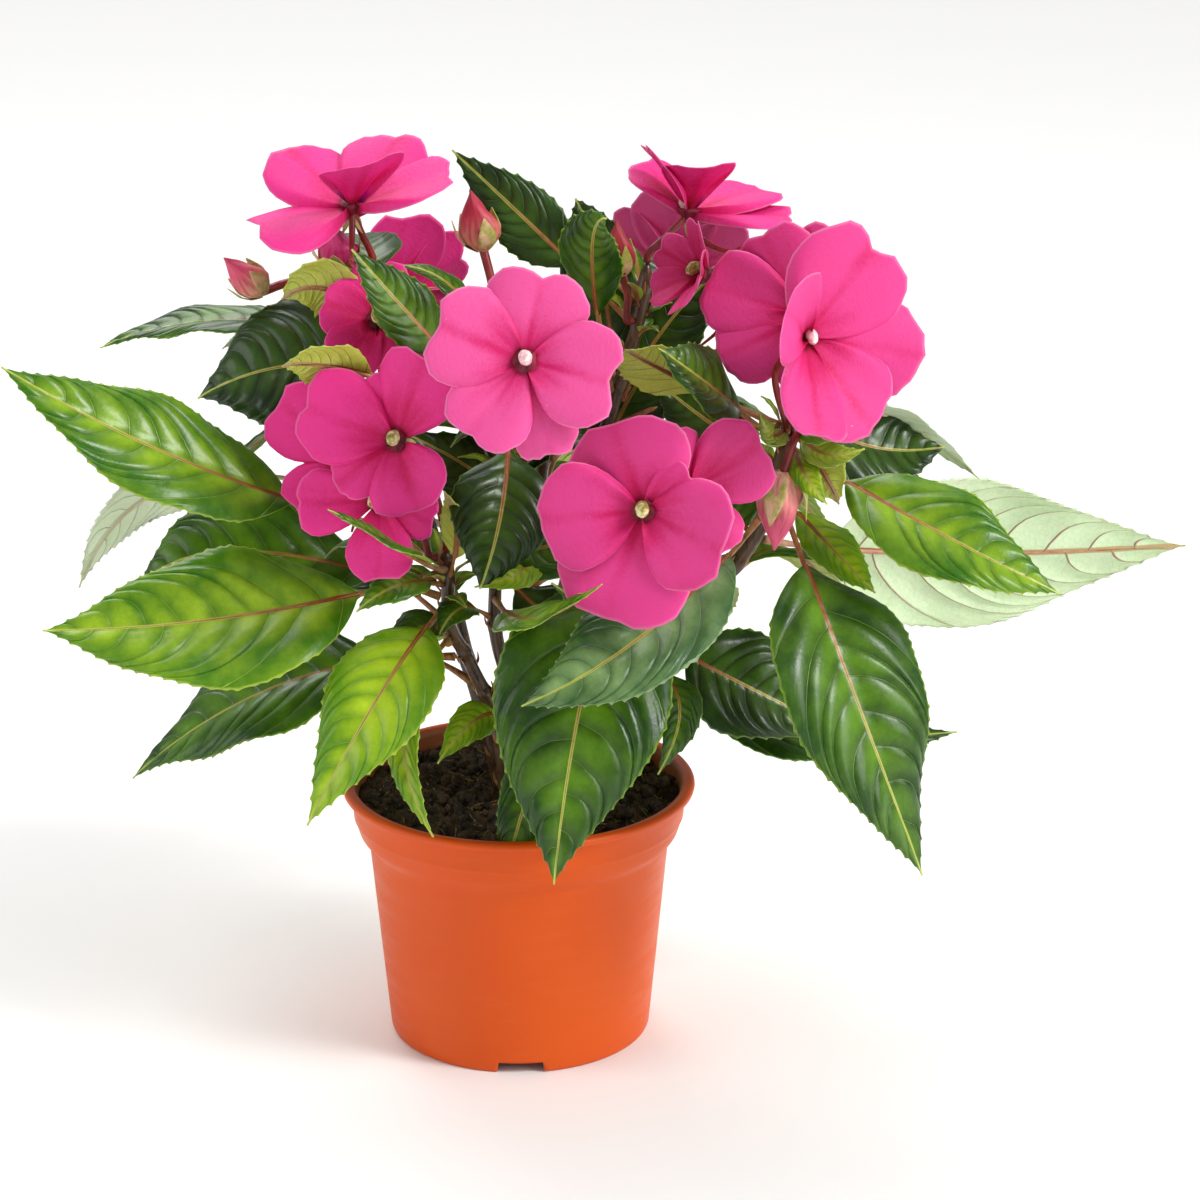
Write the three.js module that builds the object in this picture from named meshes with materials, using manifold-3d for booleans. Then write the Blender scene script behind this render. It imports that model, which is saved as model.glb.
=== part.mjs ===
// Potted New Guinea impatiens: a plastic pot, its soil, and the stems, leaves, flowers and buds
// of one plant. Millimetres, +Z up. The origin is the middle of the pot's underside, the front
// of the plant looks along -Y and +X is to its right.
import * as THREE from "three";
import { mergeVertices } from "three/addons/utils/BufferGeometryUtils.js";
import Module from "manifold-3d";

const wasm = await Module();
wasm.setup();

// Pot: a 13 cm round moulded pot
const POT_HEIGHT = 97;
const RIM_RADIUS = 65;
const LIP_HEIGHT = 3;
const BAND_RADIUS = 61;
const BAND_BOTTOM = 84;
const SHOULDER_BOTTOM = 74.5;
const SHOULDER_RADIUS = 55.4;
const FOOT_RADIUS = 48.3;
const WALL = 1.2;
const FLOOR_HEIGHT = 4.4;
const PAD_RADIUS = 22;
const POT_SEGMENTS = 40;
const NOTCH_WIDTH_TOP = 16;
const NOTCH_WIDTH_BOTTOM = 18;
const NOTCH_DEPTH = 8;
const NOTCH_ANGLES = [-90, 30, 150];
const DRAIN_HOLES = 6;
const DRAIN_CIRCLE = 35;
const DRAIN_RADIUS = 4;

// Soil: fills the pot to a little below its rim
const SOIL_EDGE_HEIGHT = 91.6;
const SOIL_MIDDLE_HEIGHT = 93;
const SEAT_GAP = 0.3;

// Plant
const STEM_SIDES = 8;
const STEM_STEPS = 18;
const STEM_START_HEIGHT = 84;
const PEDICEL_RADIUS = 1.1;
const PEDICEL_SIDES = 6;
const PEDICEL_STEPS = 7;
const FOOT_GAP = 0.5;
const STALK_LEAD = 3;
const LEAF_STEPS = 10;
const LEAF_THICKNESS = 0.9;
const PETIOLE_RADIUS = 1.1;
const BLADE_WIDEST = 0.4;
const BLADE_TIP_POWER = 1.35;
const TIP_HALF_WIDTH = 0.35;
const DISH_SEGMENTS = 20;
const DISH_THICKNESS = 1.4;
const PETALS = 5;

// Stems: name, radius, and the points that each passes through. The first one is in the soil.
const STEMS = [
  ["left", 3.0, [[-4, -8], [-8, -10, 125], [-18, -14, 148], [-24, -20, 164], [-25, -22, 192]]],
  ["middle", 2.8, [[3, -11], [-2, -12, 130], [-8, -11, 162], [-7, -11, 195], [-2, -10, 246]]],
  ["front", 3.0, [[11, -8], [16, -13, 130], [26, -20, 165], [34, -20, 190], [46, -20, 216]]],
  ["right", 3.2, [[15, 2], [30, 2, 125], [60, -3, 158], [86, -6, 192], [100, -8, 246]]],
  ["top", 3.0, [[6, 7], [14, 11, 150], [30, 13, 220], [43, 12, 262], [47, 13, 288]]],
  ["upper_left", 3.0, [[-5, 4], [-18, 8, 140], [-33, 8, 200], [-43, 6, 250], [-50, 6, 290]]],
  ["back", 3.0, [[2, 15], [0, 34, 140], [8, 52, 190], [20, 62, 250]]],
];

// Leaves: name, the stem it grows on and how far up, a point half way along its midrib, its tip,
// where its upper side faces, the blade's width, how far the two halves fold up in degrees, and
// the share of its length that is leaf stalk
const LEAVES = [
  ["left_long", "upper_left", 0.52, [-108, -24, 223], [-178, -30, 263], [-0.15, -0.5, 0.85], 47, 10, 0.3],
  ["left_broad", "left", 0.93, [-97, -50, 178], [-165, -55, 175], [0, -0.65, 0.76], 56, 8, 0.2],
  ["left_low", "left", 0.62, [-86, -8, 137], [-142, 0, 98], [-0.1, -0.35, 0.93], 52, 8, 0.2],
  ["front_left", "left", 0.82, [-47, -60, 154], [-74, -72, 108], [-0.25, -0.85, 0.45], 38, 10, 0.15],
  ["front_narrow", "left", 0.72, [-40, -54, 137], [-30, -74, 104], [-0.6, -0.6, 0.4], 16, 20, 0.15],
  ["hanging_middle", "middle", 0.97, [-5, -45, 216], [-13, -52, 188], [0.1, -0.95, 0.3], 36, 10, 0.2],
  ["small_left", "left", 0.95, [-39, -72, 209], [-63, -92, 230], [0.2, -0.1, 0.97], 24, 12, 0.25],
  ["small_middle", "middle", 0.54, [6, -78, 186], [28, -110, 209], [-0.3, -0.1, 0.95], 24, 12, 0.15],
  ["front_broad", "front", 0.86, [22, -62, 150], [12, -82, 89], [0, -0.93, 0.37], 62, 8, 0.12],
  ["front_crossing", "right", 0.75, [45, -72, 179], [1, -86, 157], [-0.2, -0.75, 0.6], 40, 12, 0.15],
  ["right_narrow", "right", 0.36, [58, -24, 134], [50, -34, 111], [0.4, -0.85, 0.3], 18, 12, 0.15],
  ["low_middle", "middle", 0.26, [-15, -24, 129], [-29, -34, 116], [-0.2, -0.8, 0.55], 15, 12, 0.2],
  ["right_low", "right", 0.42, [82, -6, 135], [118, -6, 116], [0, -0.7, 0.7], 42, 10, 0.12],
  ["right_lowest", "right", 0.3, [105, 12, 110], [164, 20, 106], [0, -0.4, 0.92], 34, 10, 0.15],
  ["right_drooping", "right", 0.8, [113, -68, 164], [142, -72, 87], [0.35, -0.75, 0.55], 56, 12, 0.22],
  ["right_glossy", "right", 0.89, [142, -52, 210], [188, -62, 188], [0.1, -0.6, 0.8], 40, 12, 0.2],
  ["right_pale", "right", 0.7, [154, 15, 178], [247, 25, 177], [0, 0.97, 0.1], 60, 5, 0.2],
  ["right_dark", "right", 0.96, [127, 5, 222], [155, 10, 220], [0, -0.7, 0.7], 40, 10, 0.15],
  ["top_left", "top", 0.9, [12, 18, 295], [-22, 28, 326], [-0.5, -0.6, 0.6], 24, 10, 0.35],
  ["top_middle", "top", 0.77, [27, -15, 296], [32, -20, 312], [-0.3, -0.8, 0.4], 24, 15, 0.25],
  ["upper_left_small", "middle", 0.97, [-30, -26, 272], [-56, -30, 304], [0.1, -0.8, 0.6], 22, 12, 0.4],
  ["upper_left_dark", "upper_left", 0.8, [-80, 2, 254], [-114, 10, 240], [-0.2, -0.75, 0.6], 54, 8, 0.1],
  ["upper_left_edge", "upper_left", 0.85, [-102, 36, 262], [-151, 36, 252], [0, -0.1, 1], 30, 12, 0.3],
  ["yellow_underside", "middle", 0.93, [-50, -36, 261], [-80, -46, 267], [0, 0.8, 0.6], 24, 8, 0.5],
  ["left_shaded", "upper_left", 0.4, [-97, -2, 186], [-137, 2, 171], [0, -0.6, 0.8], 48, 10, 0.15],
  ["left_pale", "back", 0.5, [-107, 38, 203], [-162, 30, 162], [-0.3, 0.85, 0.3], 24, 8, 0.4],
  ["inner_underside", "right", 0.93, [55, -24, 257], [38, -38, 270], [0.1, 0.85, 0.5], 26, 8, 0.3],
  ["inner_top", "right", 0.9, [70, -36, 254], [49, -44, 272], [0.5, -0.5, 0.7], 30, 15, 0.3],
  ["back_right", "back", 0.55, [75, 95, 190], [125, 110, 150], [0.2, 0.5, 0.85], 46, 10, 0.2],
  ["back_middle", "back", 0.65, [25, 120, 195], [30, 165, 140], [0, 0.7, 0.7], 48, 10, 0.2],
  ["back_left", "back", 0.6, [-50, 110, 190], [-85, 145, 150], [-0.2, 0.6, 0.75], 48, 10, 0.2],
  ["back_high", "back", 0.9, [5, 108, 250], [-5, 150, 222], [0, 0.6, 0.8], 40, 12, 0.15],
];

// Flowers: name, the stem and how far up, the bends of the flower stalk, the flower's middle,
// where it faces, its radius, how far the petals stand forward, and the angle of its first petal
const FLOWERS = [
  ["right", "right", 0.93, [[94, -32, 242], [90, -34, 260]], [99, -50, 277], [0.5, -0.85, 0.1], 41, 10, 60],
  ["right_behind", "right", 1, [[98, -3, 262]], [95, -18, 277], [-0.4, -0.88, 0.25], 29, 6, 90],
  ["right_side", "top", 0.97, [[62, 18, 282], [73, 2, 286]], [66, -8, 289], [-0.9, -0.3, 0.35], 18, 5, 90],
  ["middle", "middle", 1, [[0, -34, 262]], [3, -78, 277], [0, -0.95, 0.3], 34, 5, 90],
  ["front", "front", 1, [[42, -50, 216]], [43, -80, 225], [-0.3, -0.93, 0.15], 36, 4, 90],
  ["front_behind", "front", 0.93, [[62, -36, 216]], [71, -58, 226], [0.35, -0.9, 0.2], 26, 4, 20],
  ["left", "left", 1, [[-30, -34, 222]], [-41, -52, 242], [-0.4, -0.87, 0.25], 32, 6, 90],
  ["left_behind", "upper_left", 0.6, [[-56, -10, 220]], [-68, -26, 225], [-0.3, -0.9, 0.3], 24, 4, 50],
  ["left_low", "left", 0.99, [[-34, -28, 202]], [-52, -42, 208], [-0.2, -0.97, 0.15], 22, 4, -90],
  ["top_left", "upper_left", 1, [[-54, 4, 302]], [-57, 2, 312], [0, -0.25, 0.97], 37, 6, 90],
  ["shaded", "upper_left", 0.9, [[-48, -4, 268]], [-48, -12, 274], [0, -0.9, 0.4], 22, 4, 90],
  ["top_right", "top", 1, [[54, 16, 297]], [62, 20, 305], [0.1, 0, 1], 33, 10, 90],
  ["back_left", "back", 0.85, [[-20, 80, 245]], [-45, 92, 258], [-0.4, 0.8, 0.4], 34, 6, 90],
  ["back_right", "back", 1, [[40, 78, 262]], [62, 88, 268], [0.4, 0.8, 0.4], 34, 6, 90],
];

// Buds: name, the stem and how far up, the bends of the stalk, the bud's middle, its axis, its
// length and its radius
const BUDS = [
  ["top_left", "middle", 0.99, [[-6, -4, 262], [-8, 4, 282]], [-13, 8, 304], [-0.2, 0, 1], 24, 7],
  ["far_left", "upper_left", 0.94, [[-66, 28, 280], [-82, 27, 278]], [-96, 20, 282], [-0.7, -0.2, 0.7], 22, 6],
  ["round", "upper_left", 0.98, [[-58, 6, 289]], [-63, 5, 297], [-0.1, -0.4, 1], 15, 7],
  ["pendulous", "right", 0.95, [[101, -26, 240], [97, -36, 237]], [92, -36, 212], [-0.1, 0, -1], 32, 8],
  ["top_middle", "top", 0.9, [[40, 6, 278]], [37, 4, 295], [-0.1, 0, 1], 22, 5],
];

// Vectors and closed solids
const vec = (p) => new THREE.Vector3(...p);

function geometryToSolid(geometry) {
  const bare = geometry.clone();
  bare.deleteAttribute("normal");
  bare.deleteAttribute("uv");
  const welded = mergeVertices(bare, 1e-4);
  const mesh = new wasm.Mesh({
    numProp: 3,
    vertProperties: new Float32Array(welded.attributes.position.array),
    triVerts: new Uint32Array(welded.index.array),
  });
  return new wasm.Manifold(mesh);
}

function solidToGeometry(solid) {
  const mesh = solid.getMesh();
  const geometry = new THREE.BufferGeometry();
  geometry.setAttribute("position", new THREE.BufferAttribute(new Float32Array(mesh.vertProperties), 3));
  geometry.setIndex(new THREE.BufferAttribute(new Uint32Array(mesh.triVerts), 1));
  geometry.computeVertexNormals();
  return geometry;
}

// A solid of revolution about Z from points of radius and height
function turned(points, segments) {
  return new THREE.LatheGeometry(points.map(([r, z]) => new THREE.Vector2(r, z)), segments)
    .rotateX(Math.PI / 2);
}

// A round rod of constant radius along a smooth curve
function rod(curve, radius, sides, steps) {
  const section = new THREE.Shape();
  for (let i = 0; i < sides; i += 1) {
    const angle = (2 * Math.PI * i) / sides;
    const method = i === 0 ? "moveTo" : "lineTo";
    section[method](radius * Math.cos(angle), radius * Math.sin(angle));
  }
  section.closePath();
  return new THREE.ExtrudeGeometry(section, { steps, extrudePath: curve, bevelEnabled: false });
}

// Frame of three unit vectors whose Z looks along a direction and whose Y stays as upright as it can
function facingBasis(direction, rollDegrees) {
  const forward = vec(direction).normalize();
  const up = new THREE.Vector3(0, 0, 1);
  const right = new THREE.Vector3().crossVectors(up, forward).normalize();
  const top = new THREE.Vector3().crossVectors(forward, right);
  const basis = new THREE.Matrix4().makeBasis(right, top, forward);
  return basis.multiply(new THREE.Matrix4().makeRotationZ(THREE.MathUtils.degToRad(rollDegrees)));
}

// Pot
function potWallRadius(height) {
  return FOOT_RADIUS + ((SHOULDER_RADIUS - FOOT_RADIUS) * height) / SHOULDER_BOTTOM;
}

function potInnerProfile() {
  return [
    [BAND_RADIUS - WALL, POT_HEIGHT - LIP_HEIGHT],
    [BAND_RADIUS - WALL - 0.4, BAND_BOTTOM],
    [SHOULDER_RADIUS - WALL, SHOULDER_BOTTOM],
    [potWallRadius(FLOOR_HEIGHT) - WALL, FLOOR_HEIGHT + WALL],
    [PAD_RADIUS + 2, FLOOR_HEIGHT + WALL],
    [PAD_RADIUS - 2, WALL],
    [0, WALL],
  ];
}

function potGeometry() {
  const outer = [
    [0, 0],
    [PAD_RADIUS, 0],
    [PAD_RADIUS + 3, FLOOR_HEIGHT],
    [FOOT_RADIUS - 2.6, FLOOR_HEIGHT],
    [FOOT_RADIUS - 2.6, 0],
    [FOOT_RADIUS - 0.8, 0],
    [FOOT_RADIUS + 0.1, 1.2],
    [SHOULDER_RADIUS, SHOULDER_BOTTOM],
    [BAND_RADIUS - 2.4, SHOULDER_BOTTOM + 3.6],
    [BAND_RADIUS - 0.7, BAND_BOTTOM - 1.4],
    [BAND_RADIUS - 0.4, BAND_BOTTOM],
    [BAND_RADIUS, BAND_BOTTOM + 0.4],
    [BAND_RADIUS, POT_HEIGHT - LIP_HEIGHT],
    [RIM_RADIUS - 0.6, POT_HEIGHT - LIP_HEIGHT],
    [RIM_RADIUS, POT_HEIGHT - LIP_HEIGHT + 0.8],
    [RIM_RADIUS - 0.3, POT_HEIGHT - 0.6],
    [RIM_RADIUS - 1.6, POT_HEIGHT],
    [BAND_RADIUS + 0.2, POT_HEIGHT - 0.2],
  ];
  let pot = geometryToSolid(turned([...outer, ...potInnerProfile()], POT_SEGMENTS));
  const notchSide = new THREE.Shape([
    new THREE.Vector2(-NOTCH_WIDTH_BOTTOM / 2, -1),
    new THREE.Vector2(NOTCH_WIDTH_BOTTOM / 2, -1),
    new THREE.Vector2(NOTCH_WIDTH_TOP / 2, FLOOR_HEIGHT),
    new THREE.Vector2(-NOTCH_WIDTH_TOP / 2, FLOOR_HEIGHT),
  ]);
  for (const angle of NOTCH_ANGLES) {
    const notch = new THREE.ExtrudeGeometry(notchSide, { depth: NOTCH_DEPTH, bevelEnabled: false })
      .rotateX(Math.PI / 2)
      .translate(0, -FOOT_RADIUS + NOTCH_DEPTH - 3, 0)
      .rotateZ(THREE.MathUtils.degToRad(angle + 90));
    pot = pot.subtract(geometryToSolid(notch));
  }
  for (let i = 0; i < DRAIN_HOLES; i += 1) {
    const angle = (2 * Math.PI * i) / DRAIN_HOLES;
    const hole = new THREE.CylinderGeometry(DRAIN_RADIUS, DRAIN_RADIUS, 6, 12)
      .rotateX(Math.PI / 2)
      .translate(DRAIN_CIRCLE, 0, FLOOR_HEIGHT + WALL / 2)
      .rotateZ(angle);
    pot = pot.subtract(geometryToSolid(hole));
  }
  return solidToGeometry(pot);
}

// Stems
const stemByName = {};

function makeStems() {
  for (const [name, radius, points] of STEMS) {
    const path = points.map(([x, y, z = STEM_START_HEIGHT]) => new THREE.Vector3(x, y, z));
    const curve = new THREE.CatmullRomCurve3(path, false, "centripetal");
    stemByName[name] = { radius, curve };
  }
}

// The point beside a stem, or on its end, where a stalk that heads for a target starts, and the
// way square to the stem there. A stalk that leaves along the stem stands off by slopeRoom more.
function stalkFoot(stemName, share, target, slopeRoom = 0) {
  const { radius, curve } = stemByName[stemName];
  const point = curve.getPointAt(share);
  const heading = curve.getTangentAt(share);
  let clearance = FOOT_GAP;
  if (share < 1) {
    const toTarget = vec(target).sub(point).normalize();
    const slope = heading.dot(toTarget);
    heading.multiplyScalar(-slope).add(toTarget).normalize();
    clearance += radius + slopeRoom * Math.abs(slope);
  }
  return { foot: point.addScaledVector(heading, clearance), heading };
}

// Soil, with a pocket where each stem goes in
function soilGeometry() {
  const side = potInnerProfile().filter(([r]) => r > 0);
  const profile = [
    [0, SOIL_MIDDLE_HEIGHT],
    [BAND_RADIUS - WALL - SEAT_GAP - 18, SOIL_MIDDLE_HEIGHT - 0.4],
    [BAND_RADIUS - WALL - SEAT_GAP - 0.2, SOIL_EDGE_HEIGHT],
    ...side.slice(1, 3).map(([r, z]) => [r - SEAT_GAP, z]),
    ...side.slice(3).map(([r, z]) => [r - SEAT_GAP, z + SEAT_GAP]),
    [0, WALL + SEAT_GAP],
  ].reverse();
  let soil = geometryToSolid(turned(profile, POT_SEGMENTS));
  for (const { radius, curve } of Object.values(stemByName)) {
    const pocket = rod(curve, radius + SEAT_GAP, STEM_SIDES, STEM_STEPS).translate(0, 0, -SEAT_GAP);
    soil = soil.subtract(geometryToSolid(pocket));
  }
  return solidToGeometry(soil);
}

// Leaves
function bladeHalfWidth(share, width, petiole) {
  const u = (share - petiole) / (1 - petiole);
  if (u <= 0) {
    return PETIOLE_RADIUS;
  }
  const basePower = (BLADE_TIP_POWER * BLADE_WIDEST) / (1 - BLADE_WIDEST);
  const outline = (x) => x ** basePower * (1 - x) ** BLADE_TIP_POWER;
  const half = (0.5 * width * outline(u)) / outline(BLADE_WIDEST);
  const floor = THREE.MathUtils.lerp(PETIOLE_RADIUS, TIP_HALF_WIDTH, u);
  return Math.max(half, floor);
}

// A box bent along the midrib: its length is the leaf's length, its width the blade's width
function leafGeometry([, stem, rise, via, tip, facing, width, fold, petiole]) {
  const { foot } = stalkFoot(stem, rise, via, 0.6 * PETIOLE_RADIUS);
  const end = vec(tip);
  const middle = vec(via);
  const control = middle.clone().multiplyScalar(2).sub(foot.clone().add(end).multiplyScalar(0.5));
  const midrib = new THREE.QuadraticBezierCurve3(foot, control, end);
  const face = vec(facing);
  const lift = Math.tan(THREE.MathUtils.degToRad(fold));
  const geometry = new THREE.BoxGeometry(1, 1, 1, LEAF_STEPS, 2, 1);
  const position = geometry.attributes.position;
  for (let i = 0; i < position.count; i += 1) {
    const share = position.getX(i) + 0.5;
    const across = 2 * position.getY(i);
    const layer = 2 * position.getZ(i);
    const tangent = midrib.getTangent(share);
    const side = new THREE.Vector3().crossVectors(face, tangent).normalize();
    const normal = new THREE.Vector3().crossVectors(tangent, side);
    const half = bladeHalfWidth(share, width, petiole);
    const onBlade = THREE.MathUtils.smoothstep(share, 0, 1.5 * petiole);
    const thickness = THREE.MathUtils.lerp(2 * PETIOLE_RADIUS, LEAF_THICKNESS, onBlade);
    const point = midrib.getPoint(share)
      .addScaledVector(side, across * half)
      .addScaledVector(normal, Math.abs(across) * half * lift * onBlade + (layer * thickness) / 2);
    position.setXYZ(i, point.x, point.y, point.z);
  }
  return solidToGeometry(geometryToSolid(geometry));
}

// A stalk from its stem through its bends to an end point
function stalkSolid(stem, rise, bends, end) {
  const { foot, heading } = stalkFoot(stem, rise, bends[0]);
  const lead = foot.clone().addScaledVector(heading, STALK_LEAD);
  const curve = new THREE.CatmullRomCurve3([foot, lead, ...bends.map(vec), end], false, "centripetal");
  return geometryToSolid(rod(curve, PEDICEL_RADIUS, PEDICEL_SIDES, PEDICEL_STEPS));
}

// Flowers: a dish with five lobes on its stalk
function flowerGeometry([, stem, rise, bends, middle, facing, radius, cup, roll]) {
  const rings = [0, 0.35, 0.7, 1];
  const height = (share) => cup * share ** 1.5;
  const front = rings.map((share) => [radius * share, height(share)]);
  const back = rings.map((share) => [radius * share, height(share) - DISH_THICKNESS]);
  const dish = turned([...back, ...front.reverse()], DISH_SEGMENTS);
  const position = dish.attributes.position;
  for (let i = 0; i < position.count; i += 1) {
    const angle = Math.atan2(position.getY(i), position.getX(i));
    const lobe = 0.84 + 0.16 * Math.abs(Math.cos((PETALS * angle) / 2));
    position.setXYZ(i, position.getX(i) * lobe, position.getY(i) * lobe, position.getZ(i));
  }
  dish.applyMatrix4(facingBasis(facing, roll));
  dish.translate(...middle);
  const end = vec(middle).addScaledVector(vec(facing).normalize(), -DISH_THICKNESS / 2);
  return solidToGeometry(geometryToSolid(dish).add(stalkSolid(stem, rise, bends, end)));
}

// Buds: a pointed spindle on its stalk
function budGeometry([, stem, rise, bends, middle, axis, length, radius]) {
  const outline = [[0, -0.5], [0.6, -0.4], [1, -0.15], [0.85, 0.1], [0.4, 0.34], [0, 0.5]];
  const spindle = turned(outline.map(([r, z]) => [r * radius, z * length]), 10);
  spindle.applyMatrix4(facingBasis(axis, 0));
  spindle.translate(...middle);
  const end = vec(middle).addScaledVector(vec(axis).normalize(), -0.42 * length);
  return solidToGeometry(geometryToSolid(spindle).add(stalkSolid(stem, rise, bends, end)));
}

// Finishes
function plastic(color) {
  return new THREE.MeshStandardMaterial({ color, roughness: 0.42, metalness: 0 });
}

function organic(color, roughness) {
  return new THREE.MeshStandardMaterial({ color, roughness, metalness: 0 });
}

const plant = new THREE.Group();

function addNode(name, geometry, material) {
  const mesh = new THREE.Mesh(geometry, material);
  mesh.name = name;
  plant.add(mesh);
}

makeStems();
addNode("pot", potGeometry(), plastic(0xd65a19));
addNode("soil", soilGeometry(), organic(0x2a211a, 0.95));
for (const [name] of STEMS) {
  const { radius, curve } = stemByName[name];
  addNode(`stem_${name}`, rod(curve, radius, STEM_SIDES, STEM_STEPS), organic(0x5c2b26, 0.4));
}
for (const leaf of LEAVES) {
  addNode(`leaf_${leaf[0]}`, leafGeometry(leaf), organic(0x3d7a1c, 0.35));
}
for (const flower of FLOWERS) {
  addNode(`flower_${flower[0]}`, flowerGeometry(flower), organic(0xe5177f, 0.5));
}
for (const bud of BUDS) {
  addNode(`bud_${bud[0]}`, budGeometry(bud), organic(0xc93a5c, 0.45));
}

export default plant;
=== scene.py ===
# Looks of the potted New Guinea impatiens. Lengths in the tables are millimetres. The front of
# the plant faces -Y, and +X is to the right of someone who looks at it.
import math

import bpy
import numpy as np
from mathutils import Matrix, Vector, noise


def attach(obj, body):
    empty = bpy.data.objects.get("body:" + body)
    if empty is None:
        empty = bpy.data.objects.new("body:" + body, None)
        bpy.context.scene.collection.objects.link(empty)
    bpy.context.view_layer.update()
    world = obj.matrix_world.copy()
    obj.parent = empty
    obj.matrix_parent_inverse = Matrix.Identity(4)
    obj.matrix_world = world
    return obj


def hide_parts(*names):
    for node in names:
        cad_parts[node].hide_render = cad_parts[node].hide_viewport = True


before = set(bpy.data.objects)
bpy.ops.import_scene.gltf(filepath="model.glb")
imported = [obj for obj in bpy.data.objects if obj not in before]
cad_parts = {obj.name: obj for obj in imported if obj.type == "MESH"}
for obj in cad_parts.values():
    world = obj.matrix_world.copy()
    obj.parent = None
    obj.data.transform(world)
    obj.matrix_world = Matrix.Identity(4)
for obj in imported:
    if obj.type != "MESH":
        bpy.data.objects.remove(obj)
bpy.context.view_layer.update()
rng = np.random.default_rng(11)
MM = 0.001

# Pot and soil
POT_HEIGHT = 97
RIM_RADIUS = 65
LIP_HEIGHT = 3
LIP_BOTTOM = POT_HEIGHT - LIP_HEIGHT
BAND_RADIUS = 61
BAND_BOTTOM = 84
SHOULDER_BOTTOM = 74.5
SHOULDER_RADIUS = 55.4
FOOT_RADIUS = 48.3
WALL = 1.2
FLOOR_HEIGHT = 4.4
PAD_RADIUS = 22
NOTCH_ANGLES = [-90, 30, 150]
NOTCH_HALF_WIDTH = 9
DRAIN_HOLES = 6
DRAIN_CIRCLE = 35
DRAIN_RADIUS = 4
SOIL_EDGE_HEIGHT = 91.6
SOIL_MIDDLE_HEIGHT = 93
SEAT_GAP = 0.3
SOIL_SEGMENTS = 200
SOIL_RINGS = 56
SOIL_LUMPS = 420
SOIL_FIBRES = 420

# Plant
STEM_START_HEIGHT = 84
PETIOLE_RADIUS = 1.1
FOOT_GAP = 0.5
STALK_LEAD = 3
BLADE_WIDEST = 0.4
BLADE_TIP_POWER = 1.35
TIP_HALF_WIDTH = 0.35
VEIN_PAIRS = 9
VEIN_LEAN = 0.2
VEIN_CURL = 0.3
VEIN_DEPTH = 0.03
BLADE_ROWS_PER_MM = 1.45
BLADE_ROW_LIMITS = (16, 210)
BLADE_COLUMN_WIDTH = 4.8
HALF_COLUMN_LIMITS = (3, 10)
BLADE_THICKNESS = 0.42
BLADE_WAVE = 0.03
MIDRIB_END = 0.97
TOOTH_SPACING = 4.6
TOOTH_LENGTH = 1.5
PETAL_THICKNESS = 0.5
PETAL_STEP = 0.75
PETAL_UV_SPAN = 50

# Stems: name, radius, and the points that each passes through. The first one is in the soil.
STEMS = [
    ("left", 3.0, [(-4, -8), (-8, -10, 125), (-18, -14, 148), (-24, -20, 164), (-25, -22, 192)]),
    ("middle", 2.8, [(3, -11), (-2, -12, 130), (-8, -11, 162), (-7, -11, 195), (-2, -10, 246)]),
    ("front", 3.0, [(11, -8), (16, -13, 130), (26, -20, 165), (34, -20, 190), (46, -20, 216)]),
    ("right", 3.2, [(15, 2), (30, 2, 125), (60, -3, 158), (86, -6, 192), (100, -8, 246)]),
    ("top", 3.0, [(6, 7), (14, 11, 150), (30, 13, 220), (43, 12, 262), (47, 13, 288)]),
    ("upper_left", 3.0, [(-5, 4), (-18, 8, 140), (-33, 8, 200), (-43, 6, 250), (-50, 6, 290)]),
    ("back", 3.0, [(2, 15), (0, 34, 140), (8, 52, 190), (20, 62, 250)]),
]

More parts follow.
